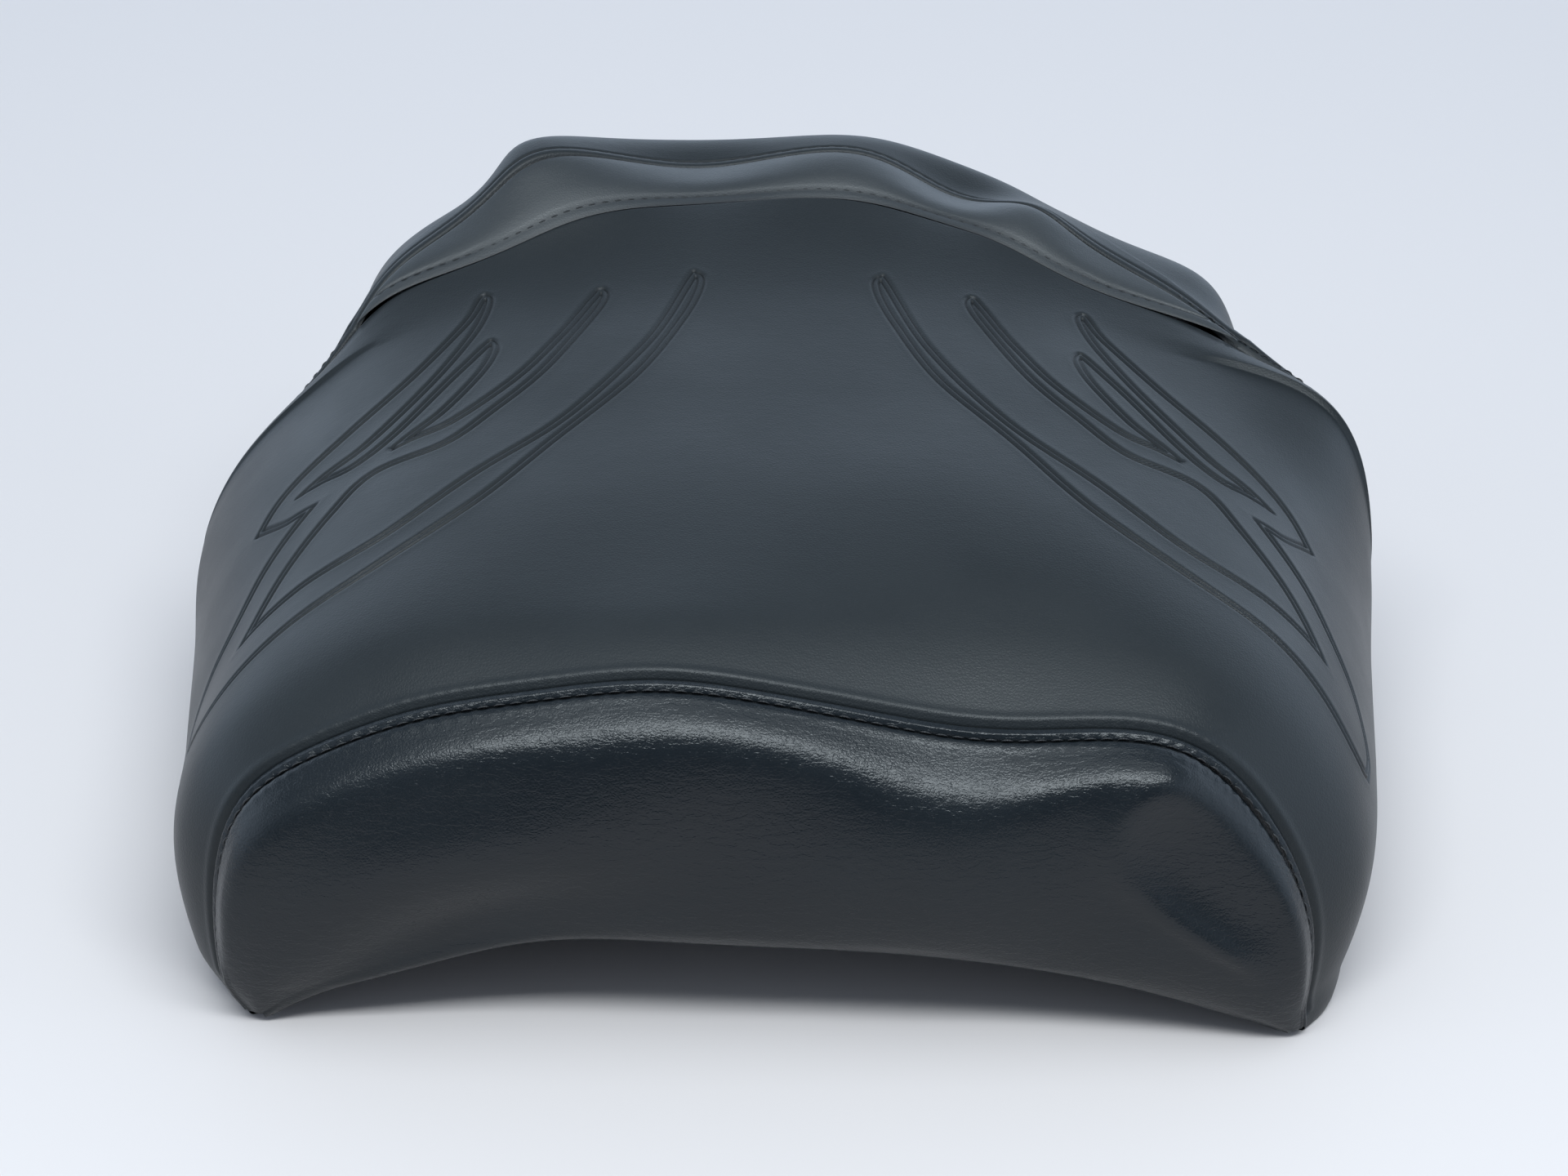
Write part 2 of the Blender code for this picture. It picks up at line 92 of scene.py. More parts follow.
PAN_EDGE_CLEAR = 11.0        # cover's foot to the pan's edge
PAN_FOOT = 4.0               # underside of the pan at its edge
PAN_RISE = 31.0              # and how far its arch rises in the middle
PAN_POWER = 3.0

HEM_RADIUS = 1.6             # fold at the cover's lower edge
HEM_RUN = 20.0               # cover turned under the pan, past the fold
# Sizes that turn the hem's length into shares of the surfaces that it carries on.
TOP_HALF = 270.0             # half length of a section of the top panel
BACK_HALF = 210.0            # and of the back panel
REAR_STEP = 50.0             # length between stations at the rear hem
FRONT_FALL = 80.0            # height of the front panel

STRIP_WIDTH = 4.4            # raised strip between a seam and its top-stitch
STITCH_PITCH = 4.8           # from one stitch to the next

# Where the slack cover leaves the symmetric shape: place, reach and move.
PULLS = [
    ((-90, 312, 154), 30, (-7, 0, 13)),         # left end of the crest stands up and out
    ((-150, 292, 122), 34, (-4, 0, 6)),         # slack behind it on the left flank
    ((124, 276, 138), 58, (-5, 0, -6)),         # right end of the crest sags
    ((150, 304, 112), 30, (12, 0, 14)),         # slack of the back panel stands out behind it
    ((104, 326, 152), 26, (0, 0, -5)),
    ((-114, 316, 143), 16, (6, 0, -5)),
    ((160, 284, 116), 30, (5, 0, 3)),
    ((-31, 318, 160), 26, (0, 0, -4)),          # crest line wanders between them
    ((22, 318, 160), 26, (0, 0, 3)),
    ((62, 316, 157), 24, (0, 0, -8)),
    ((90, 296, 150), 18, (0, 0, 4)),
    ((-36, 14, 106), 36, (0, 0, 5)),            # front seam rises left of the middle
    ((62, 14, 104), 44, (0, 0, -9)),            # and sags right of it
    ((-162, 6, 50), 42, (-4, 0, 8)),            # left front shoulder stands out
    ((-160, 2, 8), 26, (-4, 0, 0)),
    ((-136, 10, 92), 30, (0, 0, -3)),
    ((150, 8, 76), 40, (-7, 0, -3)),            # right front shoulder is pulled in
    ((160, 2, 14), 40, (-2, 0, 0)),
    ((190, 228, 90), 38, (4, 0, 12)),           # right rear corner stands out
    ((-174, 246, 104), 40, (11, 0, 0)),         # left rear flank is slack
    ((-72, -4, 26), 42, (0, 0, 6)),             # front hem lifts on the left
]
GROUND_GRIP = 12.0           # height over which the cover's feet stop following the pulls

# Pressed flame on the right of the top panel, as stretches between sharp corners.
# Points are (share of the half section, station); the left one is its mirror image.
# A separate program put marks made by eye on the photo onto this skin.  The table should be
# laid out again from sizes and arcs.
FLAME = [
    [(0.770, 1.46), (0.768, 1.68), (0.728, 1.91), (0.677, 2.10), (0.628, 2.36), (0.570, 2.60)],
    [(0.570, 2.60), (0.602, 2.63), (0.645, 2.76)],
    [(0.645, 2.76), (0.608, 2.94), (0.522, 3.19), (0.443, 3.51), (0.380, 3.93), (0.356, 4.20), (0.347, 4.23),
     (0.341, 4.13), (0.362, 3.78), (0.413, 3.35), (0.487, 2.96), (0.550, 2.83)],
    [(0.550, 2.83), (0.505, 2.82), (0.455, 2.99), (0.383, 3.43), (0.350, 3.65), (0.340, 3.68), (0.334, 3.57),
     (0.352, 3.33), (0.395, 3.03), (0.437, 2.86)],
    [(0.437, 2.86), (0.386, 2.93), (0.315, 3.24), (0.266, 3.62), (0.229, 4.00), (0.215, 4.10), (0.207, 4.01),
     (0.229, 3.73), (0.278, 3.26), (0.333, 2.94), (0.393, 2.69), (0.480, 2.62), (0.530, 2.42), (0.590, 2.13),
     (0.635, 1.83)],
    [(0.635, 1.83), (0.573, 1.89), (0.463, 2.01), (0.352, 2.40), (0.253, 2.82), (0.165, 3.49), (0.116, 4.14),
     (0.105, 4.20), (0.097, 4.10), (0.118, 3.73), (0.173, 3.14), (0.263, 2.58), (0.352, 2.08), (0.465, 1.71),
     (0.570, 1.53), (0.688, 1.39), (0.745, 1.40), (0.770, 1.46)],
]
FLAME_STRIP = 2.2            # between the two lines of the flame's edge
FLAME_GROOVE = 0.55
FLAME_DEPTH = 0.85
FLAME_NEAR = 12.0            # how far from its edge the flame is measured


# ---- symmetric shape

def station(t):
    """Section values at t, on a smooth curve through the stations."""
    first = min(max(int(np.floor(t)), 0), len(STATIONS) - 2)
    u = t - first
    a, b, c, d = (STATIONS[min(max(first + k, 0), len(STATIONS) - 1)] for k in (-1, 0, 1, 2))
    return 0.5 * (2 * b + (c - a) * u + (2 * a - 5 * b + 4 * c - d) * u**2
                  + (3 * b - a - 3 * c + d) * u**3)


def half_section(t, samples=481):
    """Points of the right half of one section, from the crown down to the foot."""
    foot_y, crown_y, crown_z, foot_w, wide_w, across, up, lean = station(t)
    angle = np.linspace(0, pi / 2, samples)
    height = np.clip(np.cos(angle), 0, 1) ** (2 / up)
    spread = np.sin(angle) ** (2 / across)
    swell = np.sin(pi / 2 * np.clip(height / WIDEST_HEIGHT, 0, 1))
    width = foot_w + (wide_w - foot_w) * swell
    return np.stack([width * spread, foot_y + (crown_y - foot_y) * height**lean, crown_z * height], -1)


def size_of(vectors):
    """Length of each vector."""
    return np.linalg.norm(vectors, axis=-1)


def run_along(points):
    """Distance along a row of points, at each of them."""
    return np.concatenate([[0], np.cumsum(size_of(np.diff(points, axis=0)))])


def between(values, run, places):
    """Values of a row of points or vectors, read at other places along it."""
    return np.stack([np.interp(places, run, values[:, k]) for k in range(3)], -1)


def make_table():
    """Points of the whole skin on an even grid, and each section's half length."""
    rows, halves = [], []
    for k in range(int(REAR_HEM) * TABLE_STEPS + 1):
        points = half_section(k / TABLE_STEPS)
        run = run_along(points)
        half = between(points, run, np.linspace(0, run[-1], TABLE_HALF + 1))
        rows.append(np.concatenate([half[:0:-1] * (-1, 1, 1), half]))
        halves.append(run[-1])
    return np.array(rows), np.array(halves)


TABLE, HALF_LENGTHS = make_table()


def smooth_weights(u):
    """Shares of four neighbouring points in a smooth curve, u of the way from the second to the third."""
    return (0.5 * (-u + 2 * u**2 - u**3), 0.5 * (2 - 5 * u**2 + 3 * u**3),
            0.5 * (u + 4 * u**2 - 3 * u**3), 0.5 * (u**3 - u**2))


def read_grid(grid, row, column):
    """Smooth value of a grid between its points."""
    first_row = np.clip(np.floor(row).astype(int), 0, grid.shape[0] - 2)
    first_column = np.clip(np.floor(column).astype(int), 0, grid.shape[1] - 2)
    over_rows = smooth_weights(row - first_row)
    over_columns = smooth_weights(column - first_column)
    total = 0.0
    for i in range(4):
        line = np.clip(first_row + i - 1, 0, grid.shape[0] - 1)
        for j in range(4):
            place = np.clip(first_column + j - 1, 0, grid.shape[1] - 1)
            weight = over_rows[i] * over_columns[j]
            total = total + grid[line, place] * (weight[:, None] if grid.ndim == 3 else weight)
    return total


def skin(s, t):
    """Point on the symmetric skin: s runs -1 to 1 from foot to foot, t from station to station."""
    return read_grid(TABLE, np.clip(t, 0, REAR_HEM) * TABLE_STEPS, (np.clip(s, -1, 1) + 1) * TABLE_HALF)


def unit(vectors):
    return vectors / np.maximum(np.linalg.norm(vectors, axis=-1, keepdims=True), 1e-9)


def normals_of(surface, s, v, step_s=0.003, step_v=0.02):
    """Outward normals of surface(s, v)."""
    over = surface(s + step_s, v) - surface(s - step_s, v)
    back = surface(s, v + step_v) - surface(s, v - step_v)
    return unit(np.cross(over, back))


def skin_normal(s, t):
    """Outward normals of the symmetric skin, taken just inside its edges."""
    s = np.clip(s, -0.997, 0.997)
    t = np.clip(t, 0.02, REAR_HEM - 0.02)
    return normals_of(skin, s, t)


def half_length(t):
    """Length of the section at t, from the crown down to a foot."""
    return np.interp(t, np.arange(len(HALF_LENGTHS)) / TABLE_STEPS, HALF_LENGTHS)


def lower_seam(s):
    """Station of the seam between the top panel and the crescent band."""
    return REAR_SEAM - REAR_SEAM_DIP * np.exp(-(((np.abs(s) - 0.37) / 0.17) ** 2))


def upper_seam(s):
    """Station of the seam between the crescent band and the back panel."""
    share = np.clip(np.abs(s) / BOLSTER_REACH, 0, 1)
    return lower_seam(s) + (BOLSTER_CREST - lower_seam(s)) * (1 - share**2.4) ** 0.8


def smooth_step(x):
    """Smooth rise from 0 to 1 as x does the same."""
    x = np.clip(x, 0, 1)
    return x * x * (3 - 2 * x)


def bell(x, width):
    """Round bump of height 1 at x = 0."""
    return np.exp(-((x / width) ** 2))


def pulled(points):
    """The slack cover's place for points of the symmetric shape."""
    moved = points.copy()
    grip = smooth_step(points[:, 2:3] / GROUND_GRIP)
    for place, reach, move in PULLS:
        away = ((points - place) ** 2).sum(-1, keepdims=True)
        moved += grip * np.exp(-away / reach**2) * np.array(move, float)
    return moved


def ripple(points, length, seed, waves=7):
    """Smooth random relief, about -1 to 1, whose hills are about length across."""
    chance = np.random.default_rng(seed)
    total = np.zeros(len(points))
    for _ in range(waves):
        way = unit(chance.normal(size=3)) * pi / (length * chance.uniform(0.7, 1.6))
        total += np.sin(points @ way + chance.uniform(0, 2 * pi))
    return total * 1.2 / waves**0.5


def under_pan(x, y):
    """Height of the pan's underside."""
    half = np.interp(y, STATIONS[:, 0], STATIONS[:, 3]) - PAN_EDGE_CLEAR
    return PAN_FOOT + PAN_RISE * (1 - np.clip(np.abs(x) / half, 0, 1) ** PAN_POWER)


def turned_under(edge, down, inward, past):
    """The cover past its lower edge: round the fold, then up under the pan."""
    angle = np.clip(past / HEM_RADIUS, 0, pi / 2)[:, None]
    run = np.clip(past - HEM_RADIUS * pi / 2, 0, None)[:, None]
    points = edge + down * HEM_RADIUS * np.sin(angle) + inward * (HEM_RADIUS * (1 - np.cos(angle)) + run)
    rest = under_pan(points[:, 0], points[:, 1]) - 0.9
    share = smooth_step((run[:, 0] - 1.0) / 9.0)
    points[:, 2] += (rest - points[:, 2]) * share
    return points


# ---- lines on the cover

def curve_through(points, step=0.05):
    """Smooth curve through the points."""
    points = np.array(points, float)
    padded = np.concatenate([[2 * points[0] - points[1]], points, [2 * points[-1] - points[-2]]])
    made = []
    for k in range(len(points) - 1):
        u = np.arange(0, 1, step)
        weights = smooth_weights(u)
        made.append(sum(w[:, None] * padded[k + j] for j, w in enumerate(weights)))
    return np.concatenate(made + [points[-1:]])


class Line:
    """A sewn or pressed line on the skin: its points, their directions and the distance along it."""

    STEP = 0.3
    FAR = 99.0

    def __init__(self, s, t):
        points = skin(s, t)
        run = run_along(points)
        self.along = np.arange(0, run[-1], self.STEP)
        self.points = between(points, run, self.along)
        self.ways = unit(np.gradient(self.points, axis=0))
        self.tree = KDTree(len(self.points))
        for index, point in enumerate(self.points):
            self.tree.insert(point, index)
        self.tree.balance()

    def measure(self, points, wanted=None):
        """Distance from the line, and the distance along it, for each point."""
        across = np.full(len(points), self.FAR)
        along = np.zeros(len(points))
        chosen = np.arange(len(points)) if wanted is None else np.flatnonzero(wanted)
        if not len(chosen):
            return across, along
        nearest = np.array([self.tree.find(point)[1] for point in points[chosen].tolist()])
        away = points[chosen] - self.points[nearest]
        ways = self.ways[nearest]
        forward = (away * ways).sum(-1)
        sideways = away - forward[:, None] * ways
        beyond = np.clip(np.abs(forward) - self.STEP, 0, None)
        across[chosen] = np.hypot(size_of(sideways), beyond)
        along[chosen] = self.along[nearest] + np.clip(forward, -self.STEP, self.STEP)
        return across, along


ACROSS = np.linspace(-1, 1, 1601)
FRONT_SEAM = Line(ACROSS, np.zeros_like(ACROSS))
LOWER_SEAM = Line(ACROSS, lower_seam(ACROSS))
UPPER_SEAM = Line(ACROSS, upper_seam(ACROSS))


class FlameEdge:
    """Closed edge of one pressed flame, with the sharp corners where two stretches meet."""

    def __init__(self, mirror):
        stretches = [curve_through(stretch)[:-1] * (mirror, 1) for stretch in FLAME]
        self.outline = np.concatenate(stretches)
        closed = np.concatenate([self.outline, self.outline[:1]])
        places = np.arange(0, len(self.outline), 0.1)
        s, t = (np.interp(places, np.arange(len(closed)), closed[:, k]) for k in (0, 1))
        self.line = Line(s, t)
        self.corners = []
        for before, after in zip(stretches, stretches[1:]):
            places = (after[0], before[-1], after[1])
            corner, last, first = (skin(place[:1], place[1:])[0] for place in places)
            self.corners.append((corner, unit(corner - last), unit(first - corner)))

    def mitred(self, points, across):
        """Distance inside the flame, where the lines round a notch run on until they meet."""
        made = across.copy()
        for corner, arriving, leaving in self.corners:
            away = points - corner
            far = size_of(away)
            ends = (away @ arriving > 0) & (away @ leaving < 0)
            ends &= (far < FLAME_NEAR) & (np.abs(across - far) < 0.8)
            sides = [away - (away @ way)[:, None] * way for way in (arriving, leaving)]
            made = np.where(ends, np.maximum(*size_of(sides)), made)
        return made


FLAME_EDGES = {mirror: FlameEdge(mirror) for mirror in (-1, 1)}


def inside_outline(s, t, outline):
    """Even-odd test of points against a closed outline."""
    odd = np.zeros(len(s), bool)
    for (s0, t0), (s1, t1) in zip(outline, np.roll(outline, -1, axis=0)):
        crosses = (t0 > t) != (t1 > t)
        if crosses.any():
            odd[crosses] ^= s[crosses] < s0 + (t[crosses] - t0) * (s1 - s0) / (t1 - t0)
    return odd


def flame_distance(points, s, t):
    """Distance from the flame's edge, positive inside it."""
    found = np.full(len(points), -Line.FAR)
    for mirror, edge in FLAME_EDGES.items():
        near = (s * mirror > 0.06) & (s * mirror < 0.81) & (t > 1.25) & (t < 4.4)
        across = edge.line.measure(points, near)[0]
        close = across < FLAME_NEAR
        within = np.zeros(len(points), bool)
        within[close] = inside_outline(s[close], t[close], edge.outline)
        found = np.where(within, edge.mitred(points, across), np.where(close, -across, found))
    return found


# ---- relief, in millimetres along the normal, with painted shade for pressed lines and seams

def flame_relief(distance):
    """Two pressed lines with a soft strip between them, and painted shade in the two lines."""
    lines = bell(distance, FLAME_GROOVE) + bell(distance - FLAME_STRIP, FLAME_GROOVE)
    strip = bell(distance - FLAME_STRIP / 2, 1.0)
    shoulders = bell(distance + 1.7, 1.3) + bell(distance - FLAME_STRIP - 1.7, 1.3)
    return -FLAME_DEPTH * lines + 0.16 * strip + 0.10 * shoulders, 0.8 * lines


def puckers(along, strength, seed=3):
    """Small gathers at the stitches, uneven along the seam."""
    drift = 0.8 * np.sin(along / 17.0 + seed) + 0.5 * np.sin(along / 7.3 + 2 * seed)
    return strength * np.sin(2 * pi * along / STITCH_PITCH + drift)


def front_corner(s):
    """How much the front seam's gathers show, most at its two shoulders."""
    return 0.25 + 0.75 * bell(np.abs(s) - 0.52, 0.2) + 0.25 * bell(s + 0.3, 0.15)


def top_relief(points, s, t):
    """Relief of the top panel, and the painted shade in its pressed lines and along its seams."""
    relief, crease = flame_relief(flame_distance(points, s, t))
    across, along = FRONT_SEAM.measure(points, t < 0.7)
    gather = puckers(along, 0.06) * front_corner(s)
    relief += (0.5 + gather) * bell(across - 2.8, 1.5) - 0.6 * bell(across, 0.4)
    relief -= 1.7 * np.clip(1 - across / 4.8, 0, 1) ** 2
    # Painted shade in the front seam's crevice.
    crease += bell(across, 0.4)
    across = LOWER_SEAM.measure(points, t > lower_seam(s) - 0.6)[0]
    relief += seam_hollow(s, across) - 0.4 * bell(across, 0.35)
    # Painted shade along the lower rear seam.
    crease += bell(across, 0.6)
    relief += 0.22 * ripple(points, 42.0, 5) * smooth_step(t / 0.8)
    return relief, crease


def seam_hollow(s, across):
    """Valley and swelling beside the rear seam where it runs down the flanks."""
    share = bell(np.abs(s) - 0.62, 0.13) * np.where(s > 0, 2.1, 0.9)
    return share * (1.4 * bell(across - 14, 6.0) - 2.6 * bell(across, 4.5))


def bolster_relief(points):
    """Relief of the crescent band, which puffs up between its seams, and painted shade along its seams and
    top-stitch.
    """
    across = LOWER_SEAM.measure(points)[0]
    above = UPPER_SEAM.measure(points)[0]
    depth = across + above
    relief = 0.13 * depth * (above / depth) ** 0.9 * (1 - bell(across, 8.0))
    relief -= 0.25 * bell(across, 0.5)
    relief -= 0.5 * bell(across - STRIP_WIDTH, 0.6)
    relief -= 0.8 * bell(above, 0.6)
    # Painted shade along both seams and the top-stitch.
    crease = bell(across, 0.6) + bell(above, 0.6) + 0.5 * bell(across - STRIP_WIDTH, 0.7)
    return relief + 0.15 * ripple(points, 36.0, 8) * smooth_step(across / 8), crease


def back_relief(points, s, t):
    """Relief of the back panel below its top-stitch, and painted shade along its seam and top-stitch."""
    across = UPPER_SEAM.measure(points, t < upper_seam(s) + 0.8)[0]
    relief = 0.4 * bell(across - 2.2, 1.6) - 1.2 * bell(across, 0.6) - 0.5 * bell(across - STRIP_WIDTH, 0.7)
    relief += seam_hollow(s, across)
    relief += 0.5 * ripple(points, 44.0, 12) * smooth_step(across / 12)
    # The second value is painted shade along the seam and the top-stitch.
    return relief, bell(across, 0.6) + 0.5 * bell(across - STRIP_WIDTH, 0.7)


# ---- cover panels

def cover(s, t):
    """The cover's face, where |s| past a foot turns under the pan."""
    half = half_length(t)
    foot = 1 - HEM_RADIUS / half
    points = skin(np.clip(s, -foot, foot), t)
    past = (np.abs(s) - foot) * half
    under = np.flatnonzero(past > 0)
    if len(under):
        edge = points[under]
        inward = -skin_normal(np.sign(s[under]) * 0.98, t[under])
        inward[:, 2] = 0
        down = np.tile((0.0, 0.0, -1.0), (len(under), 1))
        points[under] = turned_under(edge, down, unit(inward), past[under])
    return points


def back_station(s, v):
    """Station of the back panel's point (s, v)."""
    first = upper_seam(np.clip(s, -1, 1))
    return first + (LAST_STATION - first) * v


def back_cover(s, v):
    """The back panel: v runs 0 to 1 from the crest seam to the rear hem, and on under the pan."""
    t = back_station(s, v)
    points = cover(s, np.minimum(t, LAST_STATION))
    past = np.clip(t - LAST_STATION, 0, None) * REAR_STEP
    under = np.flatnonzero(past > 0)
    if len(under):
        inner = np.clip(s[under], -0.99, 0.99)
        end = np.full(len(under), LAST_STATION)
        down = unit(skin(inner, end) - skin(inner, end - 0.1))
        inward = -skin_normal(inner, end)
        points[under] = turned_under(points[under], down, inward, past[under])
    return points


def front_ridge(s):
    """Share of the front panel's height above its ridge, and how far it comes forward there."""
    dip = bell(s - 0.23, 0.14)
    share = 0.105 + 0.12 * dip - 0.035 * bell(s - 0.47, 0.09) + 0.03 * bell(s + 0.25, 0.1)
    return share, 15.5 + 3.0 * dip


def front_hem(s):
    """Lower edge of the front panel, which arches over the gap."""
    half = np.clip(np.abs(s), 0, 1)
    arch = (FRONT_HEM_HEIGHT - FRONT_HEM_FOOT) * (1 - half**FRONT_HEM_POWER)
    return np.stack([FRONT_HEM_HALF * s, -2 - 4 * (1 - half**2), FRONT_HEM_FOOT + HEM_RADIUS + arch], -1)


def front_face(s, r):
    """The front panel's face: r runs 0 to 1 from the front seam to the hem."""
    top = skin(s, np.zeros_like(s))
    low = front_hem(s)
    inner = np.clip(r, 0, 1)
    points = top + (low - top) * inner[:, None]
    ridge, forward = front_ridge(s)
    rise = inner / ridge
    swell = rise / (1 + rise**3.5) ** (1 / 3.5) * (1 - inner**2.4) ** 0.8
    points[:, 1] -= forward * swell * (1 - np.abs(s) ** 8)
    return points


def front_cover(s, r):
    """The front panel with its hem turned under the pan where r passes 1."""
    points = front_face(s, r)
    past = np.clip(r - 1, 0, None) * FRONT_FALL
    under = np.flatnonzero(past > 0)
    if len(under):
        down = np.tile((0.0, 0.0, -1.0), (len(under), 1))
        inward = np.tile((0.0, 1.0, 0.0), (len(under), 1))
        points[under] = turned_under(points[under], down, inward, past[under])
    return points


def front_length(s):
    """Length that r from 0 to 1 would have at the pace it has beside the front seam."""
    near = 0.02
    step = front_face(s, np.full_like(s, near)) - front_face(s, np.zeros_like(s))
    return size_of(step) / near


def front_normals(s, r, step=0.02):
    """Normals of the front panel's face, all of them pointing forward."""
    normals = normals_of(front_face, s, np.clip(r, 0.03, 0.97), step_v=step)
    return np.where(normals[:, 1:2] > 0, -normals, normals)


# ---- meshes

def split_grid(columns, rows, wanted):
    """Grid whose square cells halve up to twice where wanted(u, v) asks: corner places and faces."""
    fine_columns, fine_rows = 4 * columns, 4 * rows
    size = np.full((fine_rows, fine_columns), 4)
    for level, cell in ((1, 4), (2, 2)):
        i, j = np.meshgrid(np.arange(0, fine_rows, cell), np.arange(0, fine_columns, cell), indexing="ij")
        i, j = i.ravel(), j.ravel()
        due = size[i, j] == cell
        i, j = i[due], j[due]
        split = wanted((j + cell / 2) / fine_columns, (i + cell / 2) / fine_rows) >= level
        for row, column in zip(i[split], j[split]):
            size[row:row + cell, column:column + cell] = cell // 2
    i, j = np.meshgrid(np.arange(fine_rows), np.arange(fine_columns), indexing="ij")
    first = (i % size == 0) & (j % size == 0)
    i, j, cell = i[first], j[first], size[first]
    used = np.zeros((fine_rows + 1, fine_columns + 1), bool)
    for down, over in ((0, 0), (0, 1), (1, 0), (1, 1)):
        used[i + down * cell, j + over * cell] = True
    number = np.cumsum(used.ravel()).reshape(used.shape) - 1
    faces = []
    for row, column, step in zip(i.tolist(), j.tolist(), cell.tolist()):
        edge = [(row, column + k) for k in range(step)]
        edge += [(row + k, column + step) for k in range(step)]
        edge += [(row + step, column + step - k) for k in range(step)]
        edge += [(row + step - k, column) for k in range(step)]
        faces.append([int(number[place]) for place in edge if used[place]])
    place = np.argwhere(used)
    return place[:, 1] / fine_columns, place[:, 0] / fine_rows, faces


def add_mesh(name, points, faces, look, crease=None):
    """Object on the seat from points in its millimetres, none of them under the ground."""
    mesh = bpy.data.meshes.new(name)
    places = (np.asarray(points) - (0, LENGTH_MIDDLE, 0)) * METRES
    places[:, 2] = np.maximum(places[:, 2], 0)
    mesh.from_pydata(places.tolist(), [], faces)
    mesh.shade_smooth()
    # The crease attribute carries painted shade, which the vinyl materials darken their colour by.
    if crease is not None:
        mesh.attributes.new("crease", "FLOAT", "POINT").data.foreach_set("value", np.clip(crease, 0, 1))
    made = bpy.data.objects.new(name, mesh)
    made.data.materials.append(look)
    bpy.context.collection.objects.link(made)
    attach(made, "seat")
    return made


def ring_faces(first, rings, count, closed=True):
    """Faces between rows of count points, the first of them numbered first; closed rows are rings."""
    faces = []
    for row in range(first, first + (rings - 1) * count, count):
        below = row + count
        for j in range(count if closed else count - 1):
            after = (j + 1) % count
            faces.append((row + j, row + after, below + after, below + j))
    return faces


def make_top_panel(look):
    """Top panel, finely divided along the flames and less so along its seams."""
    reach = 1 + (HEM_RUN + HEM_RADIUS) / TOP_HALF
    columns, rows = 320, 160

    def places(u, v):
        s = (2 * u - 1) * reach
        return s, v * lower_seam(np.clip(s, -1, 1))

    def wanted(u, v):
        s, t = places(u, v)
        points = skin(s, t)
        flame = flame_distance(points, s, t)
        level = np.where((flame > -3.4) & (flame < FLAME_STRIP + 3.4), 2, 0)
        seam = (t < 0.30) | (t > lower_seam(np.clip(s, -1, 1)) - 0.12)
        return np.maximum(level, np.where(seam, 1, 0))

    u, v, faces = split_grid(columns, rows, wanted)
    s, t = places(u, v)
    points = cover(s, t)
    face = np.abs(s) < 1 - 6 / half_length(t)
    # crease carries painted shade for pressed lines and seams.
    relief, crease = np.zeros(len(s)), np.zeros(len(s))
    relief[face], crease[face] = top_relief(points[face], s[face], t[face])
    points += skin_normal(s, t) * relief[:, None]
    return add_mesh("top_panel", pulled(points), faces, look, crease=crease)


def make_bolster_panel(look):
    """Crescent band between the two rear seams."""
    reach = BOLSTER_REACH - 0.004
    columns, rows = 200, 14

    def places(u, v):
        s = (2 * u - 1) * reach
        return s, lower_seam(s) + v * (upper_seam(s) - lower_seam(s))

    def wanted(u, v):
        return np.ones(len(u))

    u, v, faces = split_grid(columns, rows, wanted)
    s, t = places(u, v)
    points = skin(s, t)
    # crease carries painted shade along the seams and top-stitch.
    relief, crease = bolster_relief(points)
    points += skin_normal(s, t) * relief[:, None]
    return add_mesh("bolster_panel", pulled(points), faces, look, crease=crease)


def make_back_panel(look):
    """Back panel with the rear sides, finely divided beside its seam."""
    reach = 1 + (HEM_RUN + HEM_RADIUS) / BACK_HALF
    length = 1 + (HEM_RUN + HEM_RADIUS) / REAR_STEP / (REAR_HEM - BOLSTER_CREST)
    columns, rows = 280, 120

    def places(u, v):
        return (2 * u - 1) * reach, v * length

    def wanted(u, v):
        return np.where(places(u, v)[1] < 0.07, 2, 0)

    u, v, faces = split_grid(columns, rows, wanted)
    s, place = places(u, v)
    points = back_cover(s, place)
    t = back_station(s, place)
    face = (np.abs(s) < 0.97) & (place < 0.99)
    # crease carries painted shade along the seam and top-stitch.
    relief, crease = np.zeros(len(s)), np.zeros(len(s))
    relief[face], crease[face] = back_relief(points[face], s[face], t[face])
    points += skin_normal(s, t) * relief[:, None]
    return add_mesh("back_panel", pulled(points), faces, look, crease=crease)


def front_dent(s, r):
    """Hollow at the right end of the front panel with a lit rim, and a slack bulge at its left."""
    over, down = (s - 0.66) / 0.15, (r - 0.28) / 0.24
    away = np.hypot(over, down)
    hollow = 1 / (1 + np.exp((away - 0.9) / 0.16))
    rim = bell(away - 1.3, 0.22) * smooth_step(0.4 + 0.8 * (down - over))
    slope = r + 0.25 * (s + 0.6)
    bulge = 2.4 * bell(slope - 0.54, 0.18) - 2.8 * bell(slope - 0.86, 0.13)
    bulge *= bell(s + 0.56, 0.25)
    return bulge - 3.6 * hollow + 1.3 * rim


def front_relief(points, s, r):
    """Relief of the front panel below its top-stitch, and painted shade along the top-stitch."""
    length = front_length(s)
    across = r * length - STRIP_WIDTH
    along = s * half_length(0.0)
    gather = puckers(along, 0.15) * front_corner(s)
    relief = -0.9 * bell(across, 0.8) + (0.30 + gather) * bell(across - 1.9, 1.5)
    relief += 0.35 * ripple(points, 30.0, 21) * smooth_step(across / 10)
    # The second value is painted shade along the top-stitch.
    return relief + front_dent(s, r), bell(across, 0.8)


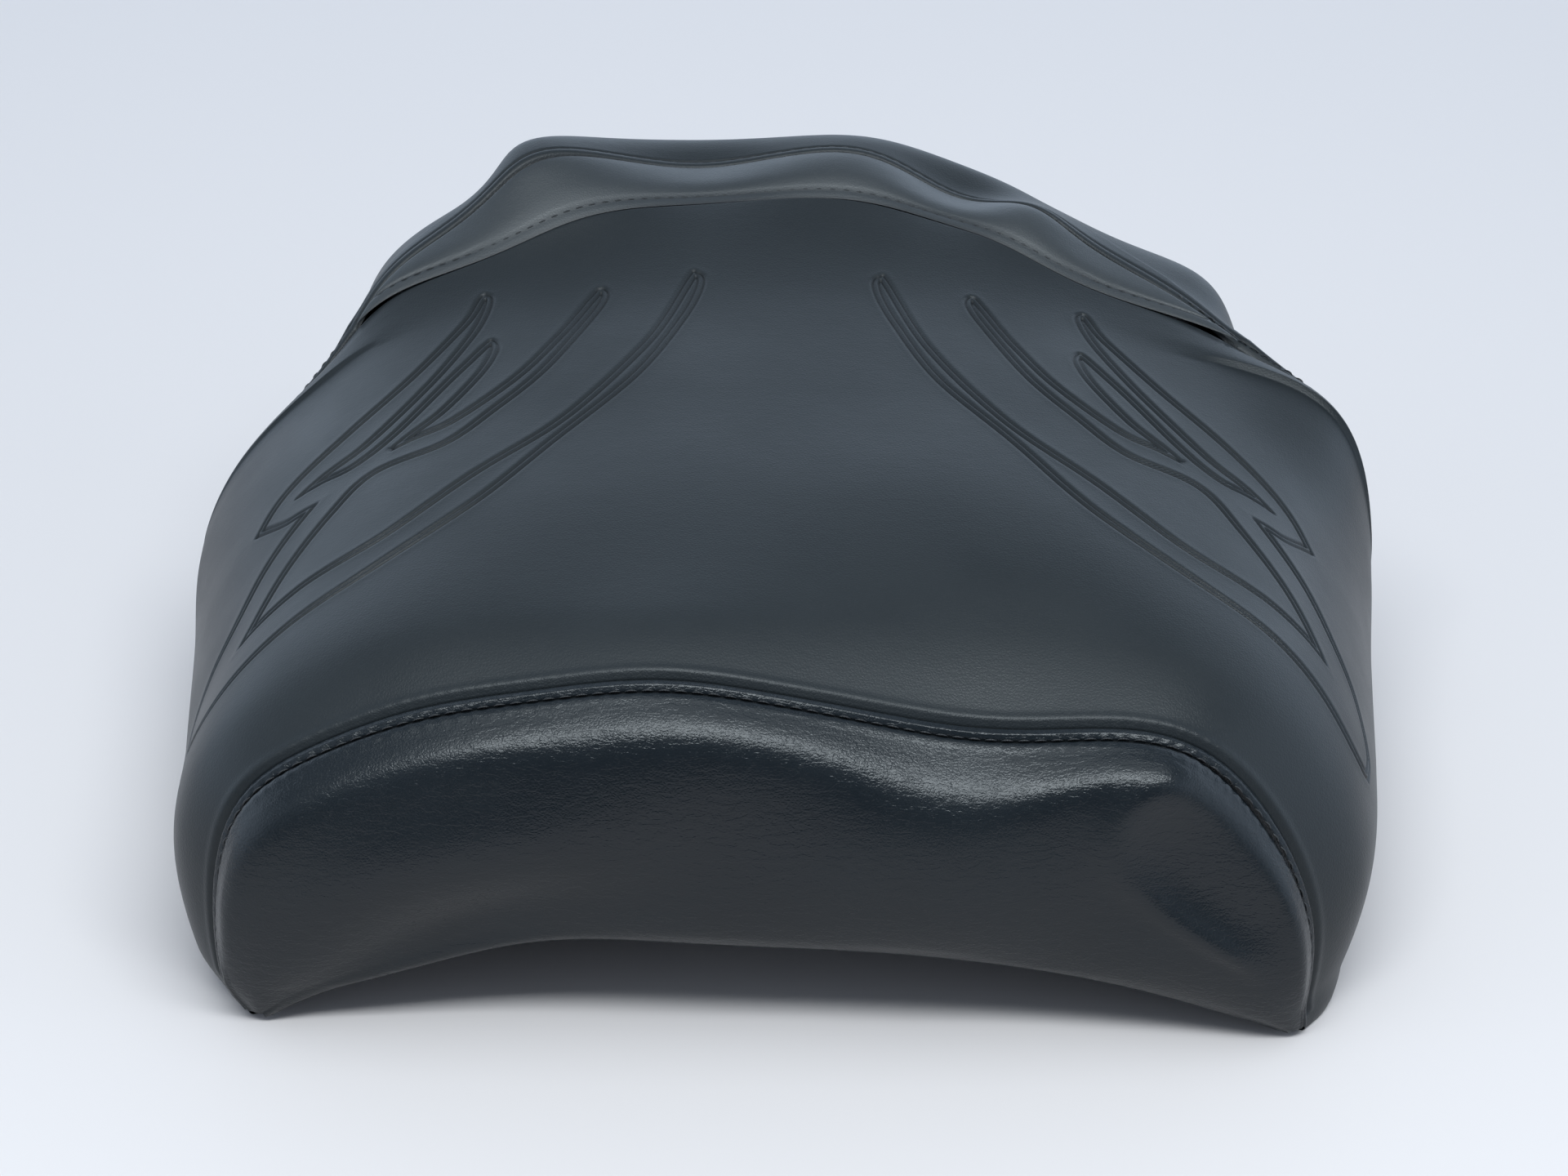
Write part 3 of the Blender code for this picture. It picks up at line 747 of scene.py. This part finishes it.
def make_front_panel(look):
    """Front panel from its top-stitch down to the turned hem."""
    columns, rows = 240, 66
    length = 1 + (HEM_RUN + HEM_RADIUS) / FRONT_FALL

    def places(u, v):
        s = (2 * u - 1) * FRONT_REACH
        first = STRIP_WIDTH / front_length(s)
        return s, first + (length - first) * v

    def wanted(u, v):
        s, r = places(u, v)
        return np.where((r * front_length(s) < 14) & (r < 1), 1, 0)

    u, v, faces = split_grid(columns, rows, wanted)
    s, r = places(u, v)
    points = front_cover(s, r)
    # crease carries painted shade along the top-stitch.
    relief, crease = front_relief(points, s, r)
    points += front_normals(s, r) * (relief * smooth_step((1 - r) / 0.05))[:, None]
    return add_mesh("front_panel", pulled(points), faces, look, crease=crease)


def make_front_strip(look):
    """Raised, gathered strip between the front seam and its top-stitch."""
    s = np.linspace(-FRONT_REACH, FRONT_REACH, 1500)
    along = s * half_length(0.0)
    # Share of the way across the strip, and height above the panel there.
    profile = (0, 0.12, 0.3, 0.6, 0.93, 1), (-1.7, -0.3, 0.1, 0.65, -0.2, -0.9)
    rows = []
    for share in np.linspace(0, 1, 15):
        r = share * STRIP_WIDTH / front_length(s)
        gather = puckers(along + 1.5 * share, 0.13) * front_corner(s) * share
        height = np.interp(share, *profile) + gather
        rows.append(pulled(front_face(s, r) + front_normals(s, r, 0.01) * height[:, None]))
    # Painted shade along the strip's two edges, in the seam's crevice and at the top-stitch.
    crease = np.repeat([1.0] + [0.0] * (len(rows) - 2) + [1.0], len(s))
    faces = ring_faces(0, len(rows), len(s), closed=False)
    return add_mesh("front_seam_strip", np.concatenate(rows), faces, look, crease=crease)


# ---- materials

# Painted shade: the colour the vinyl takes where the crease attribute marks pressed lines, seams and
# crevices.
PAINTED_GROOVE_SHADE = (0.004, 0.0045, 0.005)   # shade in a pressed line


def new_material(name, colour, roughness, metallic=0.0):
    """Plain material, with its node tree and shader to build on."""
    made = bpy.data.materials.new(name)
    made.use_nodes = True
    shader = made.node_tree.nodes["Principled BSDF"]
    shader.inputs["Base Color"].default_value = (*colour, 1)
    shader.inputs["Roughness"].default_value = roughness
    shader.inputs["Metallic"].default_value = metallic
    return made, made.node_tree, shader


def add_node(tree, kind, inputs=None, **settings):
    """Node with its settings, and each input linked to a socket or given a value."""
    node = tree.nodes.new(kind)
    for key, value in settings.items():
        setattr(node, key, value)
    for key, value in (inputs or {}).items():
        if isinstance(value, bpy.types.NodeSocket):
            tree.links.new(value, node.inputs[key])
        else:
            node.inputs[key].default_value = value
    return node


def place_of(tree, scale=(1, 1, 1)):
    """Object coordinates, stretched by scale."""
    place = add_node(tree, "ShaderNodeTexCoord").outputs["Object"]
    return add_node(tree, "ShaderNodeMapping", {"Vector": place, "Scale": scale}).outputs["Vector"]


def spread(tree, value, low, high, out_low, out_high):
    """Value from low to high, spread from out_low to out_high and held there."""
    node = add_node(tree, "ShaderNodeMapRange", {"Value": value, "From Min": low, "From Max": high,
                                                 "To Min": out_low, "To Max": out_high})
    return node.outputs["Result"]


def noise(tree, scale, detail=3.0, rough=0.5, vector=None):
    """Noise with scale hills to a metre, unless another vector is given."""
    node = add_node(tree, "ShaderNodeTexNoise", {"Scale": scale, "Detail": detail, "Roughness": rough})
    tree.links.new(vector or place_of(tree), node.inputs["Vector"])
    return node.outputs["Fac"]


def tint(tree, shader, amount, dark, light):
    """Base colour from dark to light by amount; dark may be another node's colour."""
    mixed = add_node(tree, "ShaderNodeMix", data_type="RGBA")
    tree.links.new(amount, mixed.inputs["Factor"])
    if isinstance(dark, bpy.types.NodeSocket):
        tree.links.new(dark, mixed.inputs["A"])
    else:
        mixed.inputs["A"].default_value = (*dark, 1)
    mixed.inputs["B"].default_value = (*light, 1)
    tree.links.new(mixed.outputs["Result"], shader.inputs["Base Color"])
    return mixed.outputs["Result"]


def roughen(tree, shader, value, low, high, smooth, rough):
    """Roughness from smooth to rough as value goes from low to high."""
    tree.links.new(spread(tree, value, low, high, smooth, rough), shader.inputs["Roughness"])


def bump(tree, shader, heights):
    """Stack of bumps: (height socket, distance in metres, strength)."""
    normal = None
    for height, distance, strength in heights:
        inputs = {"Height": height, "Distance": distance, "Strength": strength}
        if normal:
            inputs["Normal"] = normal
        normal = add_node(tree, "ShaderNodeBump", inputs).outputs["Normal"]
    tree.links.new(normal, shader.inputs["Normal"])


def vinyl(name, dark, light, smooth, rough, creases, gloss):
    """Grained vinyl: pebbles, pores, soft mottling and short stretch creases, with painted shade in pressed
    lines and seams.
    """
    made, tree, shader = new_material(name, light, rough)
    shader.inputs["Specular IOR Level"].default_value = gloss
    mottling = noise(tree, 28.0, 4.0)
    mottled = tint(tree, shader, mottling, dark, light)
    # Painted shade: the crease attribute darkens the base colour in pressed lines, seams and crevices.
    pressed = add_node(tree, "ShaderNodeAttribute", attribute_name="crease").outputs["Fac"]
    tint(tree, shader, pressed, mottled, PAINTED_GROOVE_SHADE)
    pebbles = add_node(tree, "ShaderNodeTexVoronoi", {"Scale": 950.0, "Vector": place_of(tree)},
                       feature="DISTANCE_TO_EDGE").outputs["Distance"]
    grain = spread(tree, pebbles, 0.0, 0.25, 0.0, 1.0)
    pores = noise(tree, 2400.0, 2.0)
    bent = noise(tree, 160.0, 3.0)
    lines = noise(tree, 1.0, 3.0, 0.62, place_of(tree, (160, 420, 420)))
    crease = spread(tree, lines, 0.47, 0.53, 0.0, 1.0)
    roughen(tree, shader, mottling, 0.3, 0.7, smooth, rough)
    bump(tree, shader, [(grain, 0.00006, 0.5), (pores, 0.00004, 0.35), (crease, 0.00012, creases),
                        (bent, 0.0004, 0.12)])
    return made


# ---- camera, light and floor

CAMERA_DISTANCE = 870.0                  # in front of the feet, in seat millimetres
CAMERA_HEIGHT = 0.591
CAMERA_PITCH = radians(63)               # from straight down, so it looks 27 degrees down
CAMERA_ROLL = radians(0.88)

SURROUND_COLOUR = (0.75, 0.90, 1.09)
SURROUND_LOW = 1.28                      # strength low down behind the seat
SURROUND_HIGH = 0.36                     # overhead
SURROUND_FRONT = 0.14                    # share of both in front of the seat
FLOOR_COLOUR = (0.80, 0.735, 0.715)
FLOOR_FRONT, FLOOR_REAR = -1, 2          # where the floor's shades start and end, in metres
# Painted shade and light on the floor: place along the floor and share of its colour, darker in front of the
# seat, lighter behind.
FLOOR_PAINTED_SHADING = [(0.05, 0.66), (0.232, 0.91), (0.40, 0.95), (0.8, 1.24)]
LIGHT_COLOUR = (0.86, 0.95, 1.0)
OVERHEAD_POWER = 25.0
FRONT_POWER = 18.0


def make_camera():
    """Camera in front of the seat, as far off and as high as fits both ends of its outline."""
    camera = bpy.data.objects.new("camera", bpy.data.cameras.new("camera"))
    camera.data.lens = 80
    camera.data.sensor_width = 36
    place = Vector((0, (-CAMERA_DISTANCE - LENGTH_MIDDLE) * METRES, CAMERA_HEIGHT))
    turn = Matrix.Rotation(CAMERA_PITCH, 4, "X") @ Matrix.Rotation(CAMERA_ROLL, 4, "Z")
    camera.matrix_world = Matrix.Translation(place) @ turn
    bpy.context.collection.objects.link(camera)
    bpy.context.scene.camera = camera


def add_light(name, place, target, size, power):
    """Soft rectangular light that faces its target."""
    lamp = bpy.data.lights.new(name, "AREA")
    lamp.shape = "RECTANGLE"
    lamp.size, lamp.size_y = size
    lamp.energy = power
    lamp.color = LIGHT_COLOUR
    made = bpy.data.objects.new(name, lamp)
    made.location = place
    made.rotation_euler = (Vector(target) - Vector(place)).to_track_quat("-Z", "Y").to_euler()
    bpy.context.collection.objects.link(made)


def make_surround():
    """Even pale surround, brightest low down behind the seat and dimmer overhead."""
    world = bpy.data.worlds.new("studio")
    world.use_nodes = True
    tree = world.node_tree
    way = add_node(tree, "ShaderNodeTexCoord").outputs["Generated"]
    parts = add_node(tree, "ShaderNodeSeparateXYZ", {"Vector": way})
    low = spread(tree, parts.outputs["Z"], 0.42, 0.70, SURROUND_LOW, SURROUND_HIGH)
    behind = spread(tree, parts.outputs["Y"], -0.95, -0.3, SURROUND_FRONT, 1.0)
    strength = add_node(tree, "ShaderNodeMath", {0: low, 1: behind}, operation="MULTIPLY").outputs["Value"]
    background = tree.nodes["Background"]
    background.inputs["Color"].default_value = (*SURROUND_COLOUR, 1)
    tree.links.new(strength, background.inputs["Strength"])
    bpy.context.scene.world = world


def make_studio():
    """Plain pale floor with painted shade in front of the seat and painted light behind it, under two soft
    lights.
    """
    mesh = bpy.data.meshes.new("floor")
    half = 6.0
    corners = [(-half, -half, 0), (half, -half, 0), (half, half, 0), (-half, half, 0)]
    mesh.from_pydata(corners, [], [(0, 1, 2, 3)])
    floor = bpy.data.objects.new("floor", mesh)
    look, tree, shader = new_material("floor_paint", FLOOR_COLOUR, 0.6)
    parts = add_node(tree, "ShaderNodeSeparateXYZ", {"Vector": place_of(tree)})
    depth = spread(tree, parts.outputs["Y"], FLOOR_FRONT, FLOOR_REAR, 0, 1)
    # Painted shade and light: the floor's colour darkens towards the front and lightens towards the back.
    sweep = add_node(tree, "ShaderNodeValToRGB", {"Fac": depth})
    stops = sweep.color_ramp.elements
    stops[1].position = FLOOR_PAINTED_SHADING[1][0]
    for place, share in FLOOR_PAINTED_SHADING[2:]:
        stops.new(place)
    for stop, (place, share) in zip(stops, FLOOR_PAINTED_SHADING):
        stop.position = place
        stop.color = (*[value * share for value in FLOOR_COLOUR], 1)
    tree.links.new(sweep.outputs["Color"], shader.inputs["Base Color"])
    mesh.materials.append(look)
    bpy.context.collection.objects.link(floor)
    add_light("overhead", (0.0, -0.35, 2.9), (0, 0, 0), (3.2, 2.0), OVERHEAD_POWER)
    add_light("front_top", (0.08, -0.82, 1.28), (0, -0.15, 0.05), (1.4, 0.36), FRONT_POWER)


# ---- foam, thread and fasteners

FOAM_REACH = 0.965           # how far down the cover's sides the foam reaches
FOAM_INSET = 7.0             # foam under the skin
FOAM_FRONT_INSET = 5.0       # and behind the front panel
FOAM_FOOT = 7.6              # lowest edge of the foam's face
FOAM_FRONT, FOAM_REAR = 4, 322
PAN_THICKNESS = 3.6          # foam's underside above the pan's

THREAD_RADIUS = 0.3
THREAD_SIDES = 6
THREAD_RINGS = 5
STITCH_SHARE = 0.72          # thread that shows, as a share of the pitch

STAPLE_WIDTH = 10.0
STAPLE_SIDE_INSET = 13.0     # staples in from the cover's side edges
STAPLE_FRONT_INSET = 15.0    # and from the front hem
# A staple's wire from leg to leg: place along it, as a share of its width, and height.
STAPLE_PROFILE = [(-0.5, -0.6), (-0.47, 0.35), (-0.40, 0.55), (0.40, 0.55), (0.47, 0.35), (0.5, -0.6)]


def make_foam(look):
    """Foam cushion between the pan and the cover, closed underneath."""
    s = np.linspace(-FOAM_REACH, FOAM_REACH, 150)
    rows = []
    for r in np.linspace(0.92, 0.10, 20):
        rows.append(front_face(s, np.full_like(s, r)) + (0, FOAM_FRONT_INSET, 0))
    for t in np.linspace(0.30, 9.75, 130):
        along = np.full_like(s, t)
        rows.append(skin(s, along) - FOAM_INSET * skin_normal(s, along))
    outer = np.array(rows)
    outer[:, :, 2] = np.maximum(outer[:, :, 2], FOAM_FOOT)
    low = []
    for y in np.linspace(FOAM_FRONT, FOAM_REAR, len(outer)):
        half = np.interp(y, STATIONS[:, 0], STATIONS[:, 3]) - PAN_EDGE_CLEAR + 5
        x = s / FOAM_REACH * half
        bulge = np.interp(y, (FOAM_FRONT, FOAM_REAR), (-5, 40))
        depth = y + bulge * (1 - np.abs(x / half) ** 2.4)
        low.append(np.stack([x, depth, under_pan(x, np.full_like(x, y)) + PAN_THICKNESS], -1))
    ring = np.concatenate([outer, np.array(low)[:, ::-1]], axis=1)
    count = ring.shape[1]
    faces = ring_faces(0, len(ring), count)
    for row in (0, (len(ring) - 1) * count):
        for j in range(len(s) - 1):
            across = row + count - 1 - j
            faces.append((row + j, row + j + 1, across - 1, across))
    foam = add_mesh("foam", pulled(ring.reshape(-1, 3)), faces, look)
    return foam


def make_thread(name, path, normals, look):
    """Row of sewn stitches: short loops of thread that dip into the cover at both ends."""
    run = run_along(path)
    share = np.linspace(0, 1, THREAD_RINGS)
    points, faces = [], []
    for start in np.arange(1.0, run[-1] - STITCH_PITCH, STITCH_PITCH):
        places = start + share * STITCH_PITCH * STITCH_SHARE
        up = unit(between(normals, run, places))
        centre = between(path, run, places) + up * (0.45 * np.sin(pi * share)[:, None] - 0.25)
        side = unit(np.cross(up, np.gradient(centre, axis=0)))
        first = len(points)
        for k in range(THREAD_RINGS):
            radius = THREAD_RADIUS * (0.55 if k in (0, THREAD_RINGS - 1) else 1.0)
            for j in range(THREAD_SIDES):
                angle = 2 * pi * j / THREAD_SIDES
                points.append(centre[k] + radius * (cos(angle) * side[k] + sin(angle) * up[k]))
        faces += ring_faces(first, THREAD_RINGS, THREAD_SIDES)
        last = first + (THREAD_RINGS - 1) * THREAD_SIDES
        faces.append(tuple(reversed(range(first, first + THREAD_SIDES))))
        faces.append(tuple(range(last, last + THREAD_SIDES)))
    return add_mesh(name, points, faces, look)


def front_thread(look):
    """Top-stitching of the front panel, below the raised strip."""
    s = np.linspace(-0.975, 0.975, 900)
    r = STRIP_WIDTH / front_length(s)
    normals = front_normals(s, r, 0.01)
    return make_thread("front_seam_thread", pulled(front_face(s, r) - 0.1 * normals), normals, look)


def beside(s, t, distance):
    """Station that lies distance millimetres behind t."""
    size = size_of(skin(s, t + 0.1) - skin(s, t)) / 0.1
    return t + distance / size


def rear_thread(name, seam, reach, samples, height, look):
    """Top-stitching behind a rear seam, out to reach on both sides, at a height above the skin."""
    s = np.linspace(-reach, reach, samples)
    t = beside(s, seam(s), STRIP_WIDTH)
    height = height + seam_hollow(s, np.full_like(s, STRIP_WIDTH))
    normals = skin_normal(s, t)
    return make_thread(name, pulled(skin(s, t) + height[:, None] * normals), normals, look)


def make_staples(look):
    """Wire staples that hold the cover's turned edge to the pan."""
    places = []
    for side in (-1, 1):
        for t in np.arange(0.35, 9.6, 0.42):
            edge = np.full(2, side * (1 + STAPLE_SIDE_INSET / half_length(t)))
            here, there = cover(edge, np.array([t, t + 0.05]))
            places.append((here, unit(there - here)))
    for s in np.linspace(-0.7, 0.7, 11):
        edge = np.full(2, 1 + STAPLE_FRONT_INSET / FRONT_FALL)
        here, there = front_cover(np.array([s, s + 0.02]), edge)
        places.append((here, unit(there - here)))
    points, faces = [], []
    for centre, way in places:
        out = np.array((0, 0, -1.0))
        out = unit(out - way * (out @ way))
        side = np.cross(way, out)
        faces += ring_faces(len(points), len(STAPLE_PROFILE), 4)
        for along, height in STAPLE_PROFILE:
            for j in range(4):
                angle = pi / 4 + j * pi / 2
                points.append(centre + way * along * STAPLE_WIDTH + out * (height + 0.3 * sin(angle))
                              + side * 0.45 * cos(angle))
    return add_mesh("hem_staples", pulled(np.array(points)), faces, look)


# ---- other materials

def moulded_plastic():
    """Black moulded plastic with a fine spark texture and scuffs."""
    made, tree, shader = new_material("pan_plastic", (0.018, 0.018, 0.019), 0.5)
    tint(tree, shader, noise(tree, 60.0, 5.0), (0.014, 0.014, 0.015), (0.026, 0.026, 0.027))
    scuffs = noise(tree, 1.0, 4.0, 0.6, place_of(tree, (14, 160, 160)))
    roughen(tree, shader, scuffs, 0.35, 0.7, 0.42, 0.62)
    bump(tree, shader, [(noise(tree, 1500.0, 2.0), 0.00008, 0.6), (scuffs, 0.00005, 0.2)])
    return made


def coated_steel():
    """Steel with black powder coat, orange peel and worn spots."""
    made, tree, shader = new_material("bracket_steel", (0.022, 0.022, 0.023), 0.42)
    wear = spread(tree, noise(tree, 85.0, 6.0, 0.65), 0.62, 0.68, 0.0, 1.0)
    tint(tree, shader, wear, (0.022, 0.022, 0.023), (0.16, 0.15, 0.14))
    tree.links.new(spread(tree, wear, 0, 1, 0.0, 0.8), shader.inputs["Metallic"])
    roughen(tree, shader, noise(tree, 40.0, 3.0), 0.3, 0.7, 0.36, 0.52)
    bump(tree, shader, [(noise(tree, 420.0, 2.0), 0.00012, 0.35), (wear, 0.00006, -0.5)])
    return made


def zinc_steel():
    """Bright zinc plate with fine turning marks and a faint yellow bloom."""
    made, tree, shader = new_material("zinc_steel", (0.55, 0.55, 0.53), 0.3, 1.0)
    tint(tree, shader, noise(tree, 130.0, 5.0), (0.50, 0.49, 0.45), (0.62, 0.62, 0.61))
    marks = noise(tree, 1.0, 2.0, 0.5, place_of(tree, (300, 300, 5200)))
    roughen(tree, shader, marks, 0.3, 0.7, 0.24, 0.42)
    bump(tree, shader, [(marks, 0.00003, 0.4)])
    return made


def rubber():
    """Moulded black rubber, dusty on its face."""
    made, tree, shader = new_material("bumper_rubber", (0.02, 0.02, 0.02), 0.75)
    dust = noise(tree, 110.0, 6.0, 0.6)
    tint(tree, shader, spread(tree, dust, 0.4, 0.7, 0, 1), (0.014, 0.014, 0.014), (0.05, 0.048, 0.045))
    roughen(tree, shader, dust, 0.3, 0.7, 0.66, 0.88)
    bump(tree, shader, [(noise(tree, 900.0, 3.0), 0.0001, 0.5)])
    return made


def nylon():
    """Natural nylon with a faint moulded skin."""
    made, tree, shader = new_material("nylon", (0.62, 0.60, 0.54), 0.45)
    tint(tree, shader, noise(tree, 200.0, 3.0), (0.56, 0.54, 0.48), (0.66, 0.64, 0.58))
    roughen(tree, shader, noise(tree, 260.0, 3.0), 0.3, 0.7, 0.38, 0.55)
    bump(tree, shader, [(noise(tree, 700.0, 2.0), 0.00004, 0.4)])
    return made


def open_foam():
    """Charcoal polyurethane foam with open cells and painted shade in their hollows."""
    made, tree, shader = new_material("foam", (0.10, 0.10, 0.105), 0.95)
    voronoi = add_node(tree, "ShaderNodeTexVoronoi", {"Scale": 900.0, "Vector": place_of(tree)})
    cells = voronoi.outputs["Distance"]
    # Painted shade: colour darkens towards each cell's middle, where the bump sinks it.
    tint(tree, shader, spread(tree, cells, 0.0, 0.6, 0, 1), (0.05, 0.05, 0.052), (0.14, 0.14, 0.145))
    roughen(tree, shader, noise(tree, 50.0), 0.3, 0.7, 0.9, 1.0)
    bump(tree, shader, [(cells, 0.0004, 0.7)])
    return made


def sewing_thread():
    """Black bonded polyester thread with a twisted lay, and painted shade in the twist's grooves with
    painted light on its ridges.
    """
    made, tree, shader = new_material("thread", (0.012, 0.013, 0.014), 0.55)
    waves = {"Scale": 900.0, "Distortion": 1.5, "Vector": place_of(tree)}
    twist = add_node(tree, "ShaderNodeTexWave", waves, bands_direction="DIAGONAL").outputs["Fac"]
    # Painted shade and light: the twist's grooves, low in the bump, are darker and its ridges lighter.
    tint(tree, shader, twist, (0.009, 0.010, 0.011), (0.022, 0.023, 0.025))
    roughen(tree, shader, twist, 0, 1, 0.48, 0.62)
    bump(tree, shader, [(twist, 0.00008, 0.5)])
    return made


# ---- scene

bpy.context.scene.view_settings.view_transform = "Standard"

MATTE = vinyl("matte_vinyl", (0.0095, 0.0125, 0.0145), (0.0125, 0.016, 0.0183), 0.38, 0.46, 0.08, 0.36)
# Painted light: a copy of the matte vinyl with a lighter colour and stronger specular, for the crescent band
# that faces the bright surround.
PAINTED_LIGHTER_VINYL = vinyl("matte_vinyl_painted_lighter", (0.011, 0.0145, 0.0165), (0.014, 0.018, 0.0205), 0.38, 0.46, 0.08, 0.95)
GLOSS = vinyl("gloss_vinyl", (0.0045, 0.0070, 0.0092), (0.0070, 0.0105, 0.0138), 0.23, 0.30, 0.34, 0.38)
PLASTIC = moulded_plastic()
COATED = coated_steel()
ZINC = zinc_steel()
RUBBER = rubber()
NYLON = nylon()
FOAM = open_foam()
THREAD = sewing_thread()

make_camera()
make_surround()
make_studio()

CARRIED_LOOKS = {"base_pan": PLASTIC, "front_tongue_bracket": COATED, "rear_tab_bracket": COATED,
                 "bolt_": ZINC, "lock_washer_": ZINC, "t_nut_": ZINC, "bumper_": RUBBER,
                 "captive_washer": NYLON, "thumb_screw": ZINC}
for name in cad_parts:
    for start, look in CARRIED_LOOKS.items():
        if name.startswith(start):
            bpy.data.objects[name].data.materials.clear()
            bpy.data.objects[name].data.materials.append(look)

foam = make_foam(FOAM)
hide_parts("foam_cushion")

PANELS = [
    (make_top_panel(MATTE), "cover_top_panel", "matte_vinyl"),
    (make_bolster_panel(PAINTED_LIGHTER_VINYL), "cover_bolster_panel", "matte_vinyl"),
    (make_back_panel(MATTE), "cover_back_panel", "matte_vinyl"),
    (make_front_panel(GLOSS), "cover_front_panel", "gloss_vinyl"),
    (make_front_strip(GLOSS), "front_seam_welt", "gloss_vinyl"),
]
for piece, node, slot_name in PANELS:
    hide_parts(node)

front_row = front_thread(THREAD)
lower_row = rear_thread("lower_seam_thread", lower_seam, 0.50, 900, 0.1, THREAD)
upper_row = rear_thread("upper_seam_thread", upper_seam, 0.96, 1500, -0.5, THREAD)
staples = make_staples(ZINC)
